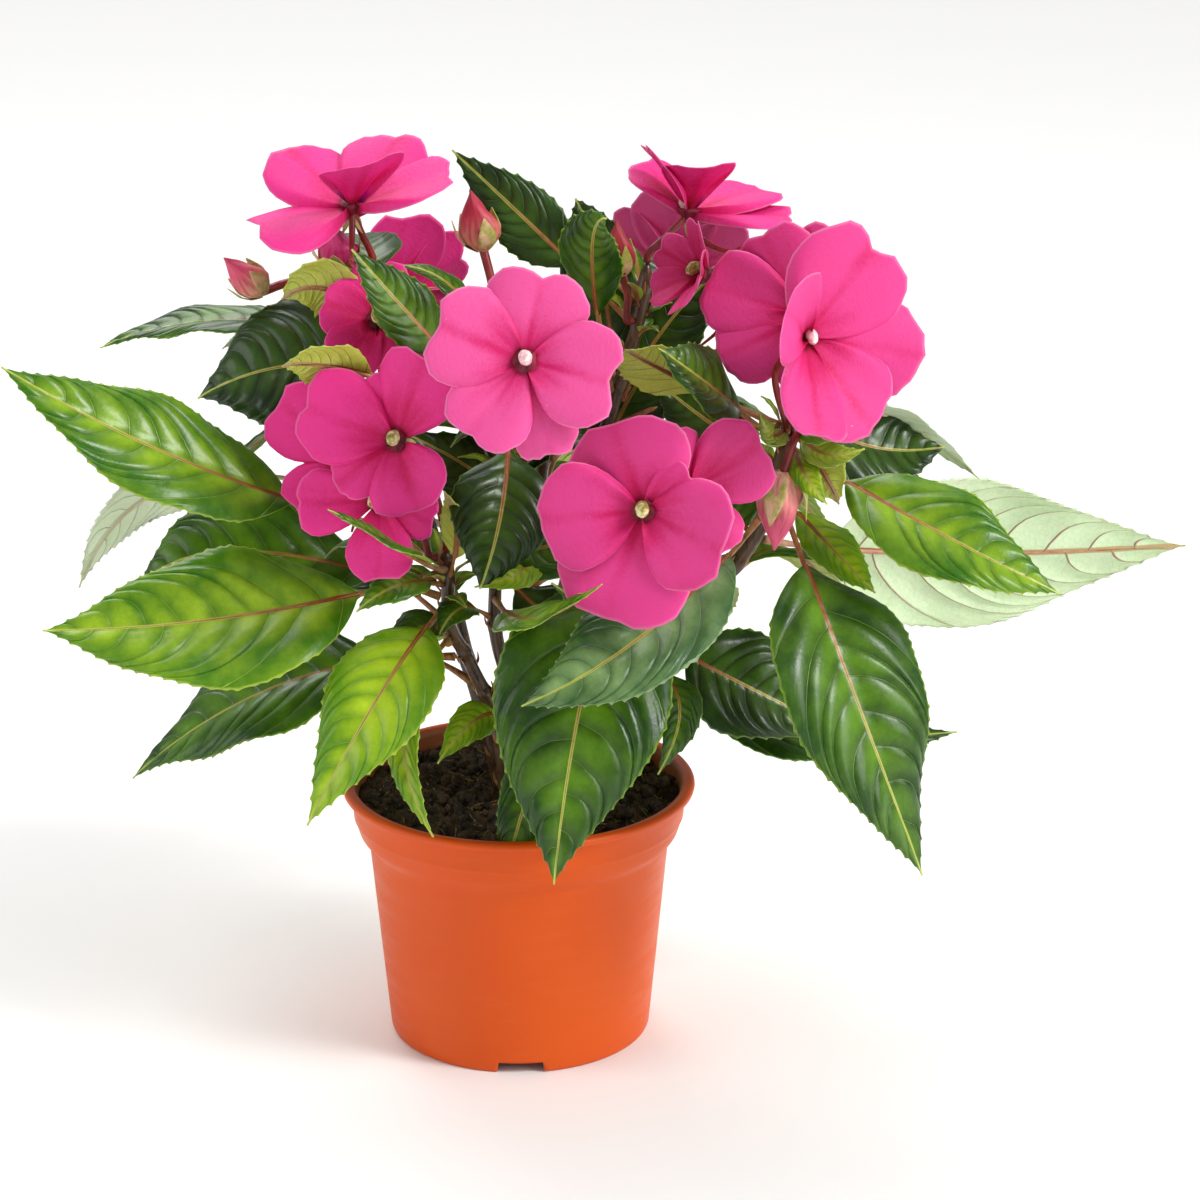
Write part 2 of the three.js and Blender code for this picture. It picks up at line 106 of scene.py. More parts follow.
# Leaves: name, the stem it grows on and how far up, a point half way along its midrib, its tip,
# where its upper side faces, the blade's width, how far the two halves fold up in degrees, and the
# share of its length that is leaf stalk
LEAVES = [
    ("left_long", "upper_left", 0.52, (-108, -24, 223), (-178, -30, 263), (-0.15, -0.5, 0.85), 47,
     10, 0.3),
    ("left_broad", "left", 0.93, (-97, -50, 178), (-165, -55, 175), (0, -0.65, 0.76), 56, 8, 0.2),
    ("left_low", "left", 0.62, (-86, -8, 137), (-142, 0, 98), (-0.1, -0.35, 0.93), 52, 8, 0.2),
    ("front_left", "left", 0.82, (-47, -60, 154), (-74, -72, 108), (-0.25, -0.85, 0.45), 38, 10, 0.15),
    ("front_narrow", "left", 0.72, (-40, -54, 137), (-30, -74, 104), (-0.6, -0.6, 0.4), 16, 20, 0.15),
    ("hanging_middle", "middle", 0.97, (-5, -45, 216), (-13, -52, 188), (0.1, -0.95, 0.3), 36, 10, 0.2),
    ("small_left", "left", 0.95, (-39, -72, 209), (-63, -92, 230), (0.2, -0.1, 0.97), 24, 12, 0.25),
    ("small_middle", "middle", 0.54, (6, -78, 186), (28, -110, 209), (-0.3, -0.1, 0.95), 24, 12, 0.15),
    ("front_broad", "front", 0.86, (22, -62, 150), (12, -82, 89), (0, -0.93, 0.37), 62, 8, 0.12),
    ("front_crossing", "right", 0.75, (45, -72, 179), (1, -86, 157), (-0.2, -0.75, 0.6), 40, 12, 0.15),
    ("right_narrow", "right", 0.36, (58, -24, 134), (50, -34, 111), (0.4, -0.85, 0.3), 18, 12, 0.15),
    ("low_middle", "middle", 0.26, (-15, -24, 129), (-29, -34, 116), (-0.2, -0.8, 0.55), 15, 12, 0.2),
    ("right_low", "right", 0.42, (82, -6, 135), (118, -6, 116), (0, -0.7, 0.7), 42, 10, 0.12),
    ("right_lowest", "right", 0.3, (105, 12, 110), (164, 20, 106), (0, -0.4, 0.92), 34, 10, 0.15),
    ("right_drooping", "right", 0.8, (113, -68, 164), (142, -72, 87), (0.35, -0.75, 0.55), 56, 12, 0.22),
    ("right_glossy", "right", 0.89, (142, -52, 210), (188, -62, 188), (0.1, -0.6, 0.8), 40, 12, 0.2),
    ("right_pale", "right", 0.7, (154, 15, 178), (247, 25, 177), (0, 0.97, 0.1), 60, 5, 0.2),
    ("right_dark", "right", 0.96, (127, 5, 222), (155, 10, 220), (0, -0.7, 0.7), 40, 10, 0.15),
    ("top_left", "top", 0.9, (12, 18, 295), (-22, 28, 326), (-0.5, -0.6, 0.6), 24, 10, 0.35),
    ("top_middle", "top", 0.77, (27, -15, 296), (32, -20, 312), (-0.3, -0.8, 0.4), 24, 15, 0.25),
    ("upper_left_small", "middle", 0.97, (-30, -26, 272), (-56, -30, 304), (0.1, -0.8, 0.6), 22,
     12, 0.4),
    ("upper_left_dark", "upper_left", 0.8, (-80, 2, 254), (-114, 10, 240), (-0.2, -0.75, 0.6), 54,
     8, 0.1),
    ("upper_left_edge", "upper_left", 0.85, (-102, 36, 262), (-151, 36, 252), (0, -0.1, 1), 30, 12, 0.3),
    ("yellow_underside", "middle", 0.93, (-50, -36, 261), (-80, -46, 267), (0, 0.8, 0.6), 24, 8, 0.5),
    ("left_shaded", "upper_left", 0.4, (-97, -2, 186), (-137, 2, 171), (0, -0.6, 0.8), 48, 10, 0.15),
    ("left_pale", "back", 0.5, (-107, 38, 203), (-162, 30, 162), (-0.3, 0.85, 0.3), 24, 8, 0.4),
    ("inner_underside", "right", 0.93, (55, -24, 257), (38, -38, 270), (0.1, 0.85, 0.5), 26, 8, 0.3),
    ("inner_top", "right", 0.9, (70, -36, 254), (49, -44, 272), (0.5, -0.5, 0.7), 30, 15, 0.3),
    ("back_right", "back", 0.55, (75, 95, 190), (125, 110, 150), (0.2, 0.5, 0.85), 46, 10, 0.2),
    ("back_middle", "back", 0.65, (25, 120, 195), (30, 165, 140), (0, 0.7, 0.7), 48, 10, 0.2),
    ("back_left", "back", 0.6, (-50, 110, 190), (-85, 145, 150), (-0.2, 0.6, 0.75), 48, 10, 0.2),
    ("back_high", "back", 0.9, (5, 108, 250), (-5, 150, 222), (0, 0.6, 0.8), 40, 12, 0.15),
]

# Leaves that have another tone than the middle one
LEAF_TONES = {
    "fresh": ["left_long", "small_middle", "right_glossy", "back_middle", "left_spur"],
    "bright": ["left_broad"],
    "lime": ["front_left", "front_narrow", "low_middle", "right_spur",
             "cluster_high", "cluster_low", "centre_side"],
    "dark": ["hanging_middle", "right_low", "right_lowest", "right_dark", "top_left",
             "upper_left_dark", "back_left", "crown_dark", "crown_back", "crown_low",
             "crown_side", "centre_dark", "centre_fill"],
    # Painted highlight: this tone has a bluish white sheen painted into its colours
    "sheen_painted": ["front_crossing"],
    # Painted light: the next two tones are whitened to stand for light shining on and through these
    # leaves
    "pale": ["right_pale"],
    "lit_white": ["left_pale", "left_far", "right_far"],
    "yellow": ["yellow_underside", "inner_underside", "left_upright", "right_curled", "left_curled",
               "cluster_side", "cluster_left"],
}

# Small leaves between the others, given in the same way
SMALL_LEAVES = [
    ("left_spur", "left", 0.9, (-41, -47, 188), (-56, -55, 181), (-0.2, -0.6, 0.75), 16, 12, 0.15),
    ("left_upright", "left", 0.93, (-21, -40, 205), (-25, -50, 223), (0.3, 0.8, 0.3), 12, 10, 0.2),
    ("front_tip", "front", 0.7, (5, -50, 116), (-4, -60, 86), (0, -0.9, 0.4), 20, 10, 0.15),
    ("right_spur", "right", 0.8, (111, -34, 196), (126, -42, 182), (0.1, -0.6, 0.8), 18, 14, 0.15),
    ("right_far", "right", 0.98, (132, 14, 232), (169, 20, 205), (0.2, 0.5, 0.7), 20, 10, 0.3),
    ("right_curled", "right", 0.93, (106, -30, 226), (113, -36, 213), (0.2, 0.9, 0.2), 20, 6, 0.2),
    ("left_curled", "upper_left", 0.9, (-66, -6, 284), (-82, -4, 280), (0.1, 0.9, 0.3), 24, 5, 0.2),
    ("left_far", "upper_left", 0.85, (-82, 24, 262), (-106, 26, 254), (0, 0.6, 0.7), 16, 8, 0.3),
    ("top_thin", "middle", 0.98, (-18, 0, 278), (-42, 4, 290), (0, -0.2, 1), 12, 10, 0.4),
    ("crown_dark", "top", 0.75, (54, 22, 262), (76, 28, 284), (-0.2, -0.8, 0.5), 30, 8, 0.1),
    ("crown_back", "top", 0.8, (30, 28, 284), (22, 38, 306), (0, -0.8, 0.5), 28, 8, 0.1),
    ("crown_low", "top", 0.55, (44, 24, 240), (66, 30, 252), (0, -0.8, 0.5), 30, 8, 0.1),
    ("crown_side", "right", 0.85, (68, 6, 232), (50, 10, 246), (0, -0.8, 0.5), 26, 8, 0.1),
    ("inner_left", "middle", 0.8, (10, 0, 236), (22, 4, 254), (-0.2, -0.8, 0.5), 22, 8, 0.15),
    ("inner_low", "front", 0.8, (52, -12, 196), (70, -14, 204), (0, -0.7, 0.7), 22, 8, 0.15),
    ("inner_right", "right", 0.7, (76, 8, 200), (60, 14, 222), (0, -0.8, 0.5), 28, 8, 0.12),
    ("centre_up", "middle", 0.72, (10, -30, 196), (23, -20, 211), (0, -0.7, 0.7), 26, 10, 0.15),
    ("centre_dark", "middle", 0.6, (14, -32, 168), (30, -40, 162), (-0.1, -0.8, 0.6), 26, 10, 0.12),
    ("centre_low", "left", 0.7, (-34, -34, 168), (-44, -50, 156), (-0.3, -0.7, 0.6), 18, 12, 0.15),
    ("stem_left", "middle", 0.5, (-20, -26, 172), (-28, -40, 166), (-0.2, -0.6, 0.7), 14, 12, 0.2),
    ("centre_side", "middle", 0.66, (2, -36, 190), (-15, -44, 186), (-0.1, -0.8, 0.5), 14, 12, 0.15),
    ("centre_thin", "middle", 0.6, (20, -34, 176), (12, -46, 188), (0, -0.8, 0.5), 12, 12, 0.2),
    ("centre_fill", "middle", 0.75, (-14, 0, 214), (-42, 2, 230), (0, -0.8, 0.5), 28, 8, 0.12),
    ("cluster_high", "right", 0.97, (104, -38, 240), (116, -44, 247), (0, -0.8, 0.5), 10, 14, 0.2),
    ("cluster_side", "right", 0.95, (106, -36, 232), (121, -42, 235), (0.1, -0.8, 0.5), 11, 14, 0.2),
    ("cluster_low", "right", 0.92, (100, -38, 226), (108, -46, 216), (0, -0.9, 0.3), 10, 14, 0.2),
    ("cluster_left", "right", 0.96, (90, -36, 238), (84, -42, 249), (-0.1, -0.8, 0.5), 9, 14, 0.2),
    ("stem_right", "front", 0.6, (38, -36, 176), (46, -50, 168), (0.2, -0.6, 0.7), 16, 12, 0.2),
]

# Leaves that fill the back and the sides: the stem and how far up, the direction seen from above
# in degrees, with the back at 90, the length, the width, and the drop of the tip
BACK_LEAVES = [
    ("middle", 0.66, 75, 62, 30, 10), ("middle", 0.82, 40, 58, 26, 4), ("middle", 0.86, 130, 56, 26, 4),
    ("back", 0.8, -60, 64, 30, 12), ("back", 0.76, -110, 60, 28, 12), ("top", 0.72, 200, 60, 28, 6),
    ("back", 0.45, 20, 78, 34, 28), ("back", 0.48, 165, 82, 36, 30), ("back", 0.6, 95, 84, 40, 34),
    ("back", 0.72, 45, 86, 38, 30), ("back", 0.74, 140, 88, 40, 30), ("back", 0.86, 80, 74, 34, 14),
    ("back", 0.88, 10, 78, 32, 22), ("back", 0.95, 120, 66, 30, -4), ("back", 0.96, 50, 62, 28, -6),
    ("back", 0.97, 170, 64, 30, 8), ("top", 0.6, 60, 84, 36, 20), ("top", 0.7, 20, 80, 34, 22),
    ("top", 0.78, 110, 78, 34, 8), ("top", 0.9, 75, 64, 28, -6), ("top", 0.93, 130, 56, 24, -10),
    ("upper_left", 0.55, 120, 88, 38, 30), ("upper_left", 0.66, 155, 84, 34, 26),
    ("upper_left", 0.75, 90, 82, 36, 14), ("upper_left", 0.84, 135, 72, 32, 6),
    ("upper_left", 0.94, 100, 60, 26, -8), ("right", 0.55, 50, 88, 38, 34),
    ("right", 0.68, 80, 90, 38, 26), ("right", 0.78, 35, 80, 34, 24), ("right", 0.88, 65, 76, 32, 8),
    ("right", 0.97, 100, 60, 26, -4), ("middle", 0.7, 95, 70, 30, 6), ("middle", 0.85, 70, 66, 28, -4),
    ("middle", 0.94, 125, 60, 26, -12), ("left", 0.75, 130, 66, 28, 14), ("left", 0.97, 160, 46, 20, 4),
    ("right", 0.42, 75, 84, 34, 34), ("left", 0.5, 150, 84, 34, 32), ("top", 0.42, 100, 80, 34, 30),
]
# Tones that the back leaves take in turn, one of them with a painted sheen
BACK_TONES = ["middle", "dark", "fresh", "middle", "dark", "sheen_painted"]

# Flowers: name, the stem and how far up, the bends of the flower stalk, the flower's middle,
# where it faces, its radius, how far the petals stand forward, and its set of petals
FLOWERS = [
    ("right", "right", 0.93, [(94, -32, 242), (90, -34, 260)], (99, -50, 277), (0.5, -0.85, 0.1),
     41, 10, "right"),
    ("right_behind", "right", 1, [(98, -3, 262)], (95, -18, 277), (-0.4, -0.88, 0.25), 29, 6,
     "right_behind"),
    ("right_side", "top", 0.97, [(62, 18, 282), (73, 2, 286)], (66, -8, 289), (-0.9, -0.3, 0.35),
     18, 5, "small"),
    ("middle", "middle", 1, [(0, -34, 262)], (3, -78, 277), (0, -0.95, 0.3), 34, 5, "middle"),
    ("front", "front", 1, [(42, -50, 216)], (43, -80, 225), (-0.3, -0.93, 0.15), 36, 4, "front"),
    ("front_behind", "front", 0.93, [(62, -36, 216)], (71, -58, 226), (0.35, -0.9, 0.2), 26, 4,
     "front_behind"),
    ("left", "left", 1, [(-30, -34, 222)], (-41, -52, 242), (-0.4, -0.87, 0.25), 32, 6, "left"),
    ("left_behind", "upper_left", 0.6, [(-56, -10, 220)], (-68, -26, 225), (-0.3, -0.9, 0.3), 24,
     4, "left_behind"),
    ("left_low", "left", 0.99, [(-34, -28, 202)], (-52, -42, 208), (-0.2, -0.97, 0.15), 22, 4,
     "left_low"),
    ("top_left", "upper_left", 1, [(-54, 4, 302)], (-57, 2, 312), (0, -0.25, 0.97), 37, 6, "cupped"),
    ("shaded", "upper_left", 0.9, [(-48, -4, 268)], (-48, -12, 274), (0, -0.9, 0.4), 22, 4, "plain"),
    ("top_right", "top", 1, [(54, 16, 297)], (62, 20, 305), (0.1, 0, 1), 33, 3, "umbrella"),
    ("back_left", "back", 0.85, [(-20, 80, 245)], (-45, 92, 258), (-0.4, 0.8, 0.4), 34, 6, "plain"),
    ("back_right", "back", 1, [(40, 78, 262)], (62, 88, 268), (0.4, 0.8, 0.4), 34, 6, "plain"),
]
# How far right and up the throat of a flower lies from its middle, in its own plane
THROAT_SHIFTS = {
    "front_behind": (-13, 0), "left_behind": (10, 3), "left_low": (4, 9), "right_behind": (7, 0),
}
# Flowers that have another tone than the light one
FLOWER_TONES = {
    "deep": ["left", "left_behind", "left_low", "shaded", "top_left", "top_right", "back_left"],
    "middle": ["front", "front_behind", "right", "right_behind", "right_side"],
}

# Petals of a set, seen from the front of the flower: direction in degrees from its right round by
# its top, length as a share of the flower's radius, half of its angle, how deep its notch is, how
# far it leans forward in degrees, and its place from back to front
PETAL_SETS = {
    "plain": [
        (90, 0.98, 50, 0.1, 2, 0), (18, 0.95, 46, 0.08, 0, 2), (162, 0.97, 46, 0.1, 3, 1),
        (-52, 1.0, 46, 0.1, 2, 3), (-128, 1.0, 48, 0.08, 0, 4),
    ],
    "cupped": [
        (132, 0.98, 46, 0.08, 8, 0), (62, 0.95, 44, 0.1, 14, 1), (0, 0.98, 42, 0.06, 12, 2),
        (-72, 0.7, 58, 0.06, 44, 4), (-158, 1.0, 40, 0.06, -14, 3),
    ],
    "umbrella": [
        (-170, 0.54, 84, 0.02, 47, 4), (102, 0.6, 56, 0.08, 47, 3), (48, 0.75, 52, 0.08, 26, 1),
        (-55, 1.1, 44, 0.08, 7, 2), (-98, 1.15, 38, 0.06, 2, 0),
    ],
    "small": [
        (90, 1.0, 44, 0.1, 20, 0), (10, 0.95, 44, 0.1, 14, 2), (170, 0.95, 44, 0.1, 26, 1),
        (-50, 1.0, 44, 0.1, 12, 3), (-130, 1.0, 44, 0.1, 18, 4),
    ],
    "middle": [
        (77, 0.96, 52, 0.14, 0, 1), (157, 1.0, 50, 0.1, 3, 3), (-14, 0.98, 54, 0.12, 2, 2),
        (-125, 0.96, 44, 0.04, 0, 0), (-74, 1.0, 30, 0.05, -6, -2),
    ],
    "front": [
        (112, 0.94, 66, 0.1, -2, 0), (-172, 0.98, 50, 0.02, 5, 4), (-20, 0.94, 60, 0.08, 4, 3),
        (-106, 1.12, 60, 0.03, 0, 1), (40, 0.6, 40, 0.02, 0, 2),
    ],
    "right": [
        (52, 1.03, 56, 0.13, 3, 1), (-14, 1.06, 36, 0.02, 0, 0), (-60, 0.93, 44, 0.03, 6, 2),
        (150, 0.94, 40, 0.03, 38, 4), (-112, 0.8, 40, 0.03, 26, 3),
    ],
    "front_behind": [
        (28, 1.22, 48, 0.05, 0, 2), (-58, 0.96, 38, 0.04, 0, 1), (105, 0.9, 40, 0.05, 0, 0),
        (170, 0.55, 38, 0.02, 0, 3), (-130, 0.6, 38, 0.02, 0, -1),
    ],
    "left_behind": [
        (145, 1.38, 42, 0.05, 0, 2), (-135, 1.12, 38, 0.04, 0, 1), (80, 1.0, 38, 0.04, 0, 0),
        (15, 0.7, 38, 0.04, 0, 3), (-65, 0.7, 38, 0.04, 0, -1),
    ],
    "left_low": [
        (-178, 1.3, 38, 0.06, 2, 2), (-85, 1.24, 42, 0.05, 4, 3), (-15, 1.0, 38, 0.04, 0, 1),
        (55, 0.7, 38, 0.02, 0, 0), (120, 0.8, 38, 0.02, 0, -1),
    ],
    "left": [
        (72, 1.02, 46, 0.03, 0, 1), (165, 1.1, 46, 0.08, 3, 3), (-62, 0.84, 56, 0.05, 2, 2),
        (-140, 0.85, 34, 0.02, 0, 0), (118, 0.75, 40, 0.02, 0, -1),
    ],
    "right_behind": [
        (122, 1.15, 42, 0.04, 0, 0), (72, 1.15, 46, 0.1, -4, -1), (167, 1.25, 38, 0.04, 4, 2),
        (-147, 1.12, 40, 0.04, 2, 3), (-80, 0.9, 46, 0.05, 0, 1),
    ],
}

# Buds: name, the stem and how far up, the bends of the stalk, the bud's middle, its axis, its
# length and its radius
BUDS = [
    ("top_left", "middle", 0.99, [(-6, -4, 262), (-8, 4, 282)], (-13, 8, 304), (-0.2, 0, 1), 24, 7),
    ("far_left", "upper_left", 0.94, [(-66, 28, 280), (-82, 27, 278)], (-96, 20, 282), (-0.7, -0.2,
     0.7), 22, 6),
    ("round", "upper_left", 0.98, [(-58, 6, 289)], (-63, 5, 297), (-0.1, -0.4, 1), 15, 7),
    ("pendulous", "right", 0.95, [(101, -26, 240), (97, -36, 237)], (92, -36, 212), (-0.1, 0, -1),
     32, 8),
    ("top_middle", "top", 0.9, [(40, 6, 278)], (37, 4, 295), (-0.1, 0, 1), 22, 5),
]


# Vectors and curves
def unit(v):
    v = np.asarray(v, float)
    return v / np.linalg.norm(v, axis=-1, keepdims=True)


def smoothstep(x, low, high):
    """From 0 to 1 as x goes from low to high"""
    t = np.clip((x - low) / (high - low), 0, 1)
    return t * t * (3 - 2 * t)


def spline(points, steps=48):
    """Evenly spaced points on a centripetal Catmull-Rom curve"""
    p = [np.array(q, float) for q in points]
    p = [2 * p[0] - p[1], *p, 2 * p[-1] - p[-2]]
    t = np.linspace(0, 1, 24, endpoint=False)[:, None]
    dense = []
    for a, b, c, d in zip(p, p[1:], p[2:], p[3:]):
        before, here, after = (np.linalg.norm(v) ** 0.5 for v in (b - a, c - b, d - c))
        start = ((b - a) / before - (c - a) / (before + here) + (c - b) / here) * here
        end = ((c - b) / here - (d - b) / (here + after) + (d - c) / after) * here
        square = (3 * (c - b) - 2 * start - end) * t**2
        cube = (2 * (b - c) + start + end) * t**3
        dense.append(b + start * t + square + cube)
    dense = np.vstack([*dense, p[-2]])
    step_lengths = np.linalg.norm(np.diff(dense, axis=0), axis=1)
    along = np.concatenate([[0], np.cumsum(step_lengths)])
    even = np.linspace(0, along[-1], steps + 1)
    return np.column_stack([np.interp(even, along, dense[:, k]) for k in range(3)])


def bezier(start, control, end, t):
    """Points of a curve that leaves its start and reaches its end by way of a control point, and
    its directions there"""
    t = np.asarray(t, float)[:, None]
    point = (1 - t) ** 2 * start + 2 * t * (1 - t) * control + t**2 * end
    tangent = 2 * (1 - t) * (control - start) + 2 * t * (end - control)
    return point, unit(tangent)


def facing_basis(direction):
    """Right, top and forward of something that faces a direction"""
    forward = unit(direction)
    right = unit(np.cross([0, 0, 1], forward))
    return right, np.cross(forward, right), forward


def swing(turn, right, top):
    """The direction that lies at an angle from right, round by top"""
    return math.cos(turn) * right + math.sin(turn) * top


# Meshes
class Shape:
    """The closed surfaces of one piece, with two UV pairs for each point"""

    def __init__(self):
        self.points = []
        self.faces = []
        self.slots = []
        self.uvs = []
        self.count = 0

    def add(self, points, faces, slots, uvs=None):
        """Faces give the order of their corners among the new points"""
        self.points.append(points)
        self.faces += [[corner + self.count for corner in face] for face in faces]
        self.slots += slots
        self.uvs.append(np.zeros((len(points), 4)) if uvs is None else uvs)
        self.count += len(points)

    def build(self, name, materials):
        """Make the piece, with the materials in the order of its slots"""
        mesh = bpy.data.meshes.new(name)
        mesh.from_pydata(np.vstack(self.points) * MM, [], self.faces)
        mesh.polygons.foreach_set("material_index", self.slots)
        mesh.polygons.foreach_set("use_smooth", [True] * len(self.slots))
        corner = np.zeros(len(mesh.loops), int)
        mesh.loops.foreach_get("vertex_index", corner)
        uvs = np.vstack(self.uvs)[corner]
        for layer_name, pair in (("place", uvs[:, :2]), ("metric", uvs[:, 2:])):
            layer = mesh.uv_layers.new(name=layer_name)
            layer.data.foreach_set("uv", pair.ravel())
        for material in materials:
            mesh.materials.append(material)
        mesh.update()
        piece = bpy.data.objects.new(name, mesh)
        bpy.context.scene.collection.objects.link(piece)
        return piece


def add_sheet(shape, top, bottom, uvs, top_slot, bottom_slot):
    """A thin closed sheet between two grids of points"""
    rows, columns = top.shape[:2]
    count = rows * columns
    index = np.arange(count).reshape(rows, columns)
    a, b, c, d = index[:-1, :-1], index[1:, :-1], index[1:, 1:], index[:-1, 1:]
    upper = np.stack([a, b, c, d], -1).reshape(-1, 4)
    lower = np.stack([a, d, c, b], -1).reshape(-1, 4) + count
    border = np.concatenate([index[:, 0], index[-1, 1:], index[-2::-1, -1], index[0, -2:0:-1]])
    ahead = np.roll(border, -1)
    rim = np.stack([border + count, ahead + count, ahead, border], -1)
    points = np.vstack([top.reshape(-1, 3), bottom.reshape(-1, 3)])
    slots = [top_slot] * len(upper) + [bottom_slot] * len(lower) + [top_slot] * len(rim)
    shape.add(points, np.vstack([upper, lower, rim]).tolist(), slots, np.vstack([uvs, uvs]))


def ring_faces(rings, sides):
    """The wall between rings of points, and a face on the first and on the last ring"""
    index = np.arange(rings * sides).reshape(rings, sides)
    ahead = np.roll(index, -1, axis=1)
    wall = np.stack([index[:-1], ahead[:-1], ahead[1:], index[1:]], -1).reshape(-1, 4)
    return [*wall.tolist(), index[0][::-1].tolist(), index[-1].tolist()]


def add_tube(shape, path, radii, sides, slot, ribs=0.0, rib_count=3, twist=0.0):
    """A closed rod along a path. Ribs are how far its ridges stand out, as a share of its radius."""
    path = np.asarray(path, float)
    rings = len(path)
    tangent = unit(np.gradient(path, axis=0))
    side = unit(np.cross(tangent[0], [0.3, 0.9, 0.2]))
    angle = np.linspace(0, 2 * math.pi, sides, endpoint=False)
    points = np.zeros((rings, sides, 3))
    for i in range(rings):
        side = unit(side - (side @ tangent[i]) * tangent[i])
        other = np.cross(tangent[i], side)
        turn = angle + twist * i / rings
        reach = radii[i] * (1 + ribs * np.cos(rib_count * turn))
        points[i] = path[i] + reach[:, None] * (
            np.cos(angle)[:, None] * side + np.sin(angle)[:, None] * other
        )
    along = np.concatenate([[0], np.cumsum(np.linalg.norm(np.diff(path, axis=0), axis=1))])
    share = np.repeat(along / along[-1], sides)
    around = np.tile(angle / (2 * math.pi), rings)
    uvs = np.column_stack([share, around, np.repeat(along / 100, sides), around])
    faces = ring_faces(rings, sides)
    shape.add(points.reshape(-1, 3), faces, [slot] * len(faces), uvs)


def finish_piece(piece, slot, *nodes):
    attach(piece, "root")
    if nodes:
        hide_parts(*nodes)


# Materials
def rgb(code):
    """Linear colour from a web colour code"""
    levels = [int(code[i : i + 2], 16) / 255 for i in (0, 2, 4)]
    linear = [v / 12.92 if v <= 0.04045 else ((v + 0.055) / 1.055) ** 2.4 for v in levels]
    return (*linear, 1)


class Nodes:
    """The node tree of one material"""

    def __init__(self, name, **uniform):
        self.material = bpy.data.materials.new(name)
        self.material.use_nodes = True
        self.tree = self.material.node_tree
        self.shader = self.tree.nodes["Principled BSDF"]
        for socket, value in uniform.items():
            self.shader.inputs[socket.replace("_", " ")].default_value = value

    def feed(self, socket, value):
        if isinstance(value, bpy.types.NodeSocket):
            self.tree.links.new(value, socket)
        elif isinstance(value, str):
            socket.default_value = rgb(value)
        else:
            socket.default_value = value

    def make(self, kind, **settings):
        node = self.tree.nodes.new(kind)
        for key, value in settings.items():
            setattr(node, key, value)
        return node

    def math(self, operation, *values):
        node = self.make("ShaderNodeMath", operation=operation)
        for socket, value in zip(node.inputs, values):
            self.feed(socket, value)
        return node.outputs[0]

    def ramp(self, value, low, high, start=0.0, end=1.0):
        """From start to end, smoothly, as value goes from low to high"""
        node = self.make("ShaderNodeMapRange", interpolation_type="SMOOTHSTEP")
        for socket, v in zip(node.inputs, (value, low, high, start, end)):
            self.feed(socket, v)
        return node.outputs[0]

    def mix(self, share, first, second):
        node = self.make("ShaderNodeMix", data_type="RGBA")
        self.feed(node.inputs[0], share)
        self.feed(node.inputs[6], first)
        self.feed(node.inputs[7], second)
        return node.outputs[2]

    def tint(self, colour, other, value, *limits):
        """Bring another colour in as value goes from the low to the high limit"""
        return self.mix(self.ramp(value, *limits), colour, other)

    def vary(self, share, texture, strength):
        """Raise and lower a share by a texture"""
        return self.math("MULTIPLY_ADD", self.math("SUBTRACT", texture, 0.5), strength, share)

    def uv(self, name):
        vector = self.make("ShaderNodeUVMap", uv_map=name).outputs[0]
        parts = self.make("ShaderNodeSeparateXYZ")
        self.feed(parts.inputs[0], vector)
        return parts.outputs[0], parts.outputs[1]

    def place(self):
        vector = self.make("ShaderNodeTexCoord").outputs["Object"]
        parts = self.make("ShaderNodeSeparateXYZ")
        self.feed(parts.inputs[0], vector)
        return vector, parts.outputs

    def stretched(self, parts, factor):
        """The place with its height multiplied, so that a texture gets shorter or longer in it"""
        x, y, z = parts
        return self.join(x, y, self.math("MULTIPLY", z, factor))

    def join(self, x, y, z=0.0):
        node = self.make("ShaderNodeCombineXYZ")
        for socket, value in zip(node.inputs, (x, y, z)):
            self.feed(socket, value)
        return node.outputs[0]

    def noise(self, vector, scale, detail=3.0, roughness=0.55):
        node = self.make("ShaderNodeTexNoise")
        self.feed(node.inputs["Vector"], vector)
        node.inputs["Scale"].default_value = scale
        node.inputs["Detail"].default_value = detail
        node.inputs["Roughness"].default_value = roughness
        return node.outputs[0]

    def cells(self, vector, scale):
        node = self.make("ShaderNodeTexVoronoi", feature="DISTANCE_TO_EDGE")
        self.feed(node.inputs["Vector"], vector)
        node.inputs["Scale"].default_value = scale
        return node.outputs[0]

    def finish(self, colour, roughness, height=None, depth=0.0003):
        self.feed(self.shader.inputs["Base Color"], colour)
        self.feed(self.shader.inputs["Roughness"], roughness)
        if height is not None:
            bump = self.make("ShaderNodeBump")
            bump.inputs["Distance"].default_value = depth
            self.feed(bump.inputs["Height"], height)
            self.feed(self.shader.inputs["Normal"], bump.outputs[0])
        return self.material


SOFT_LIGHT = {
    "Subsurface_Weight": 0.3,
    "Subsurface_Scale": 0.0012,
    "Subsurface_Radius": (0.6, 1.0, 0.35),
}

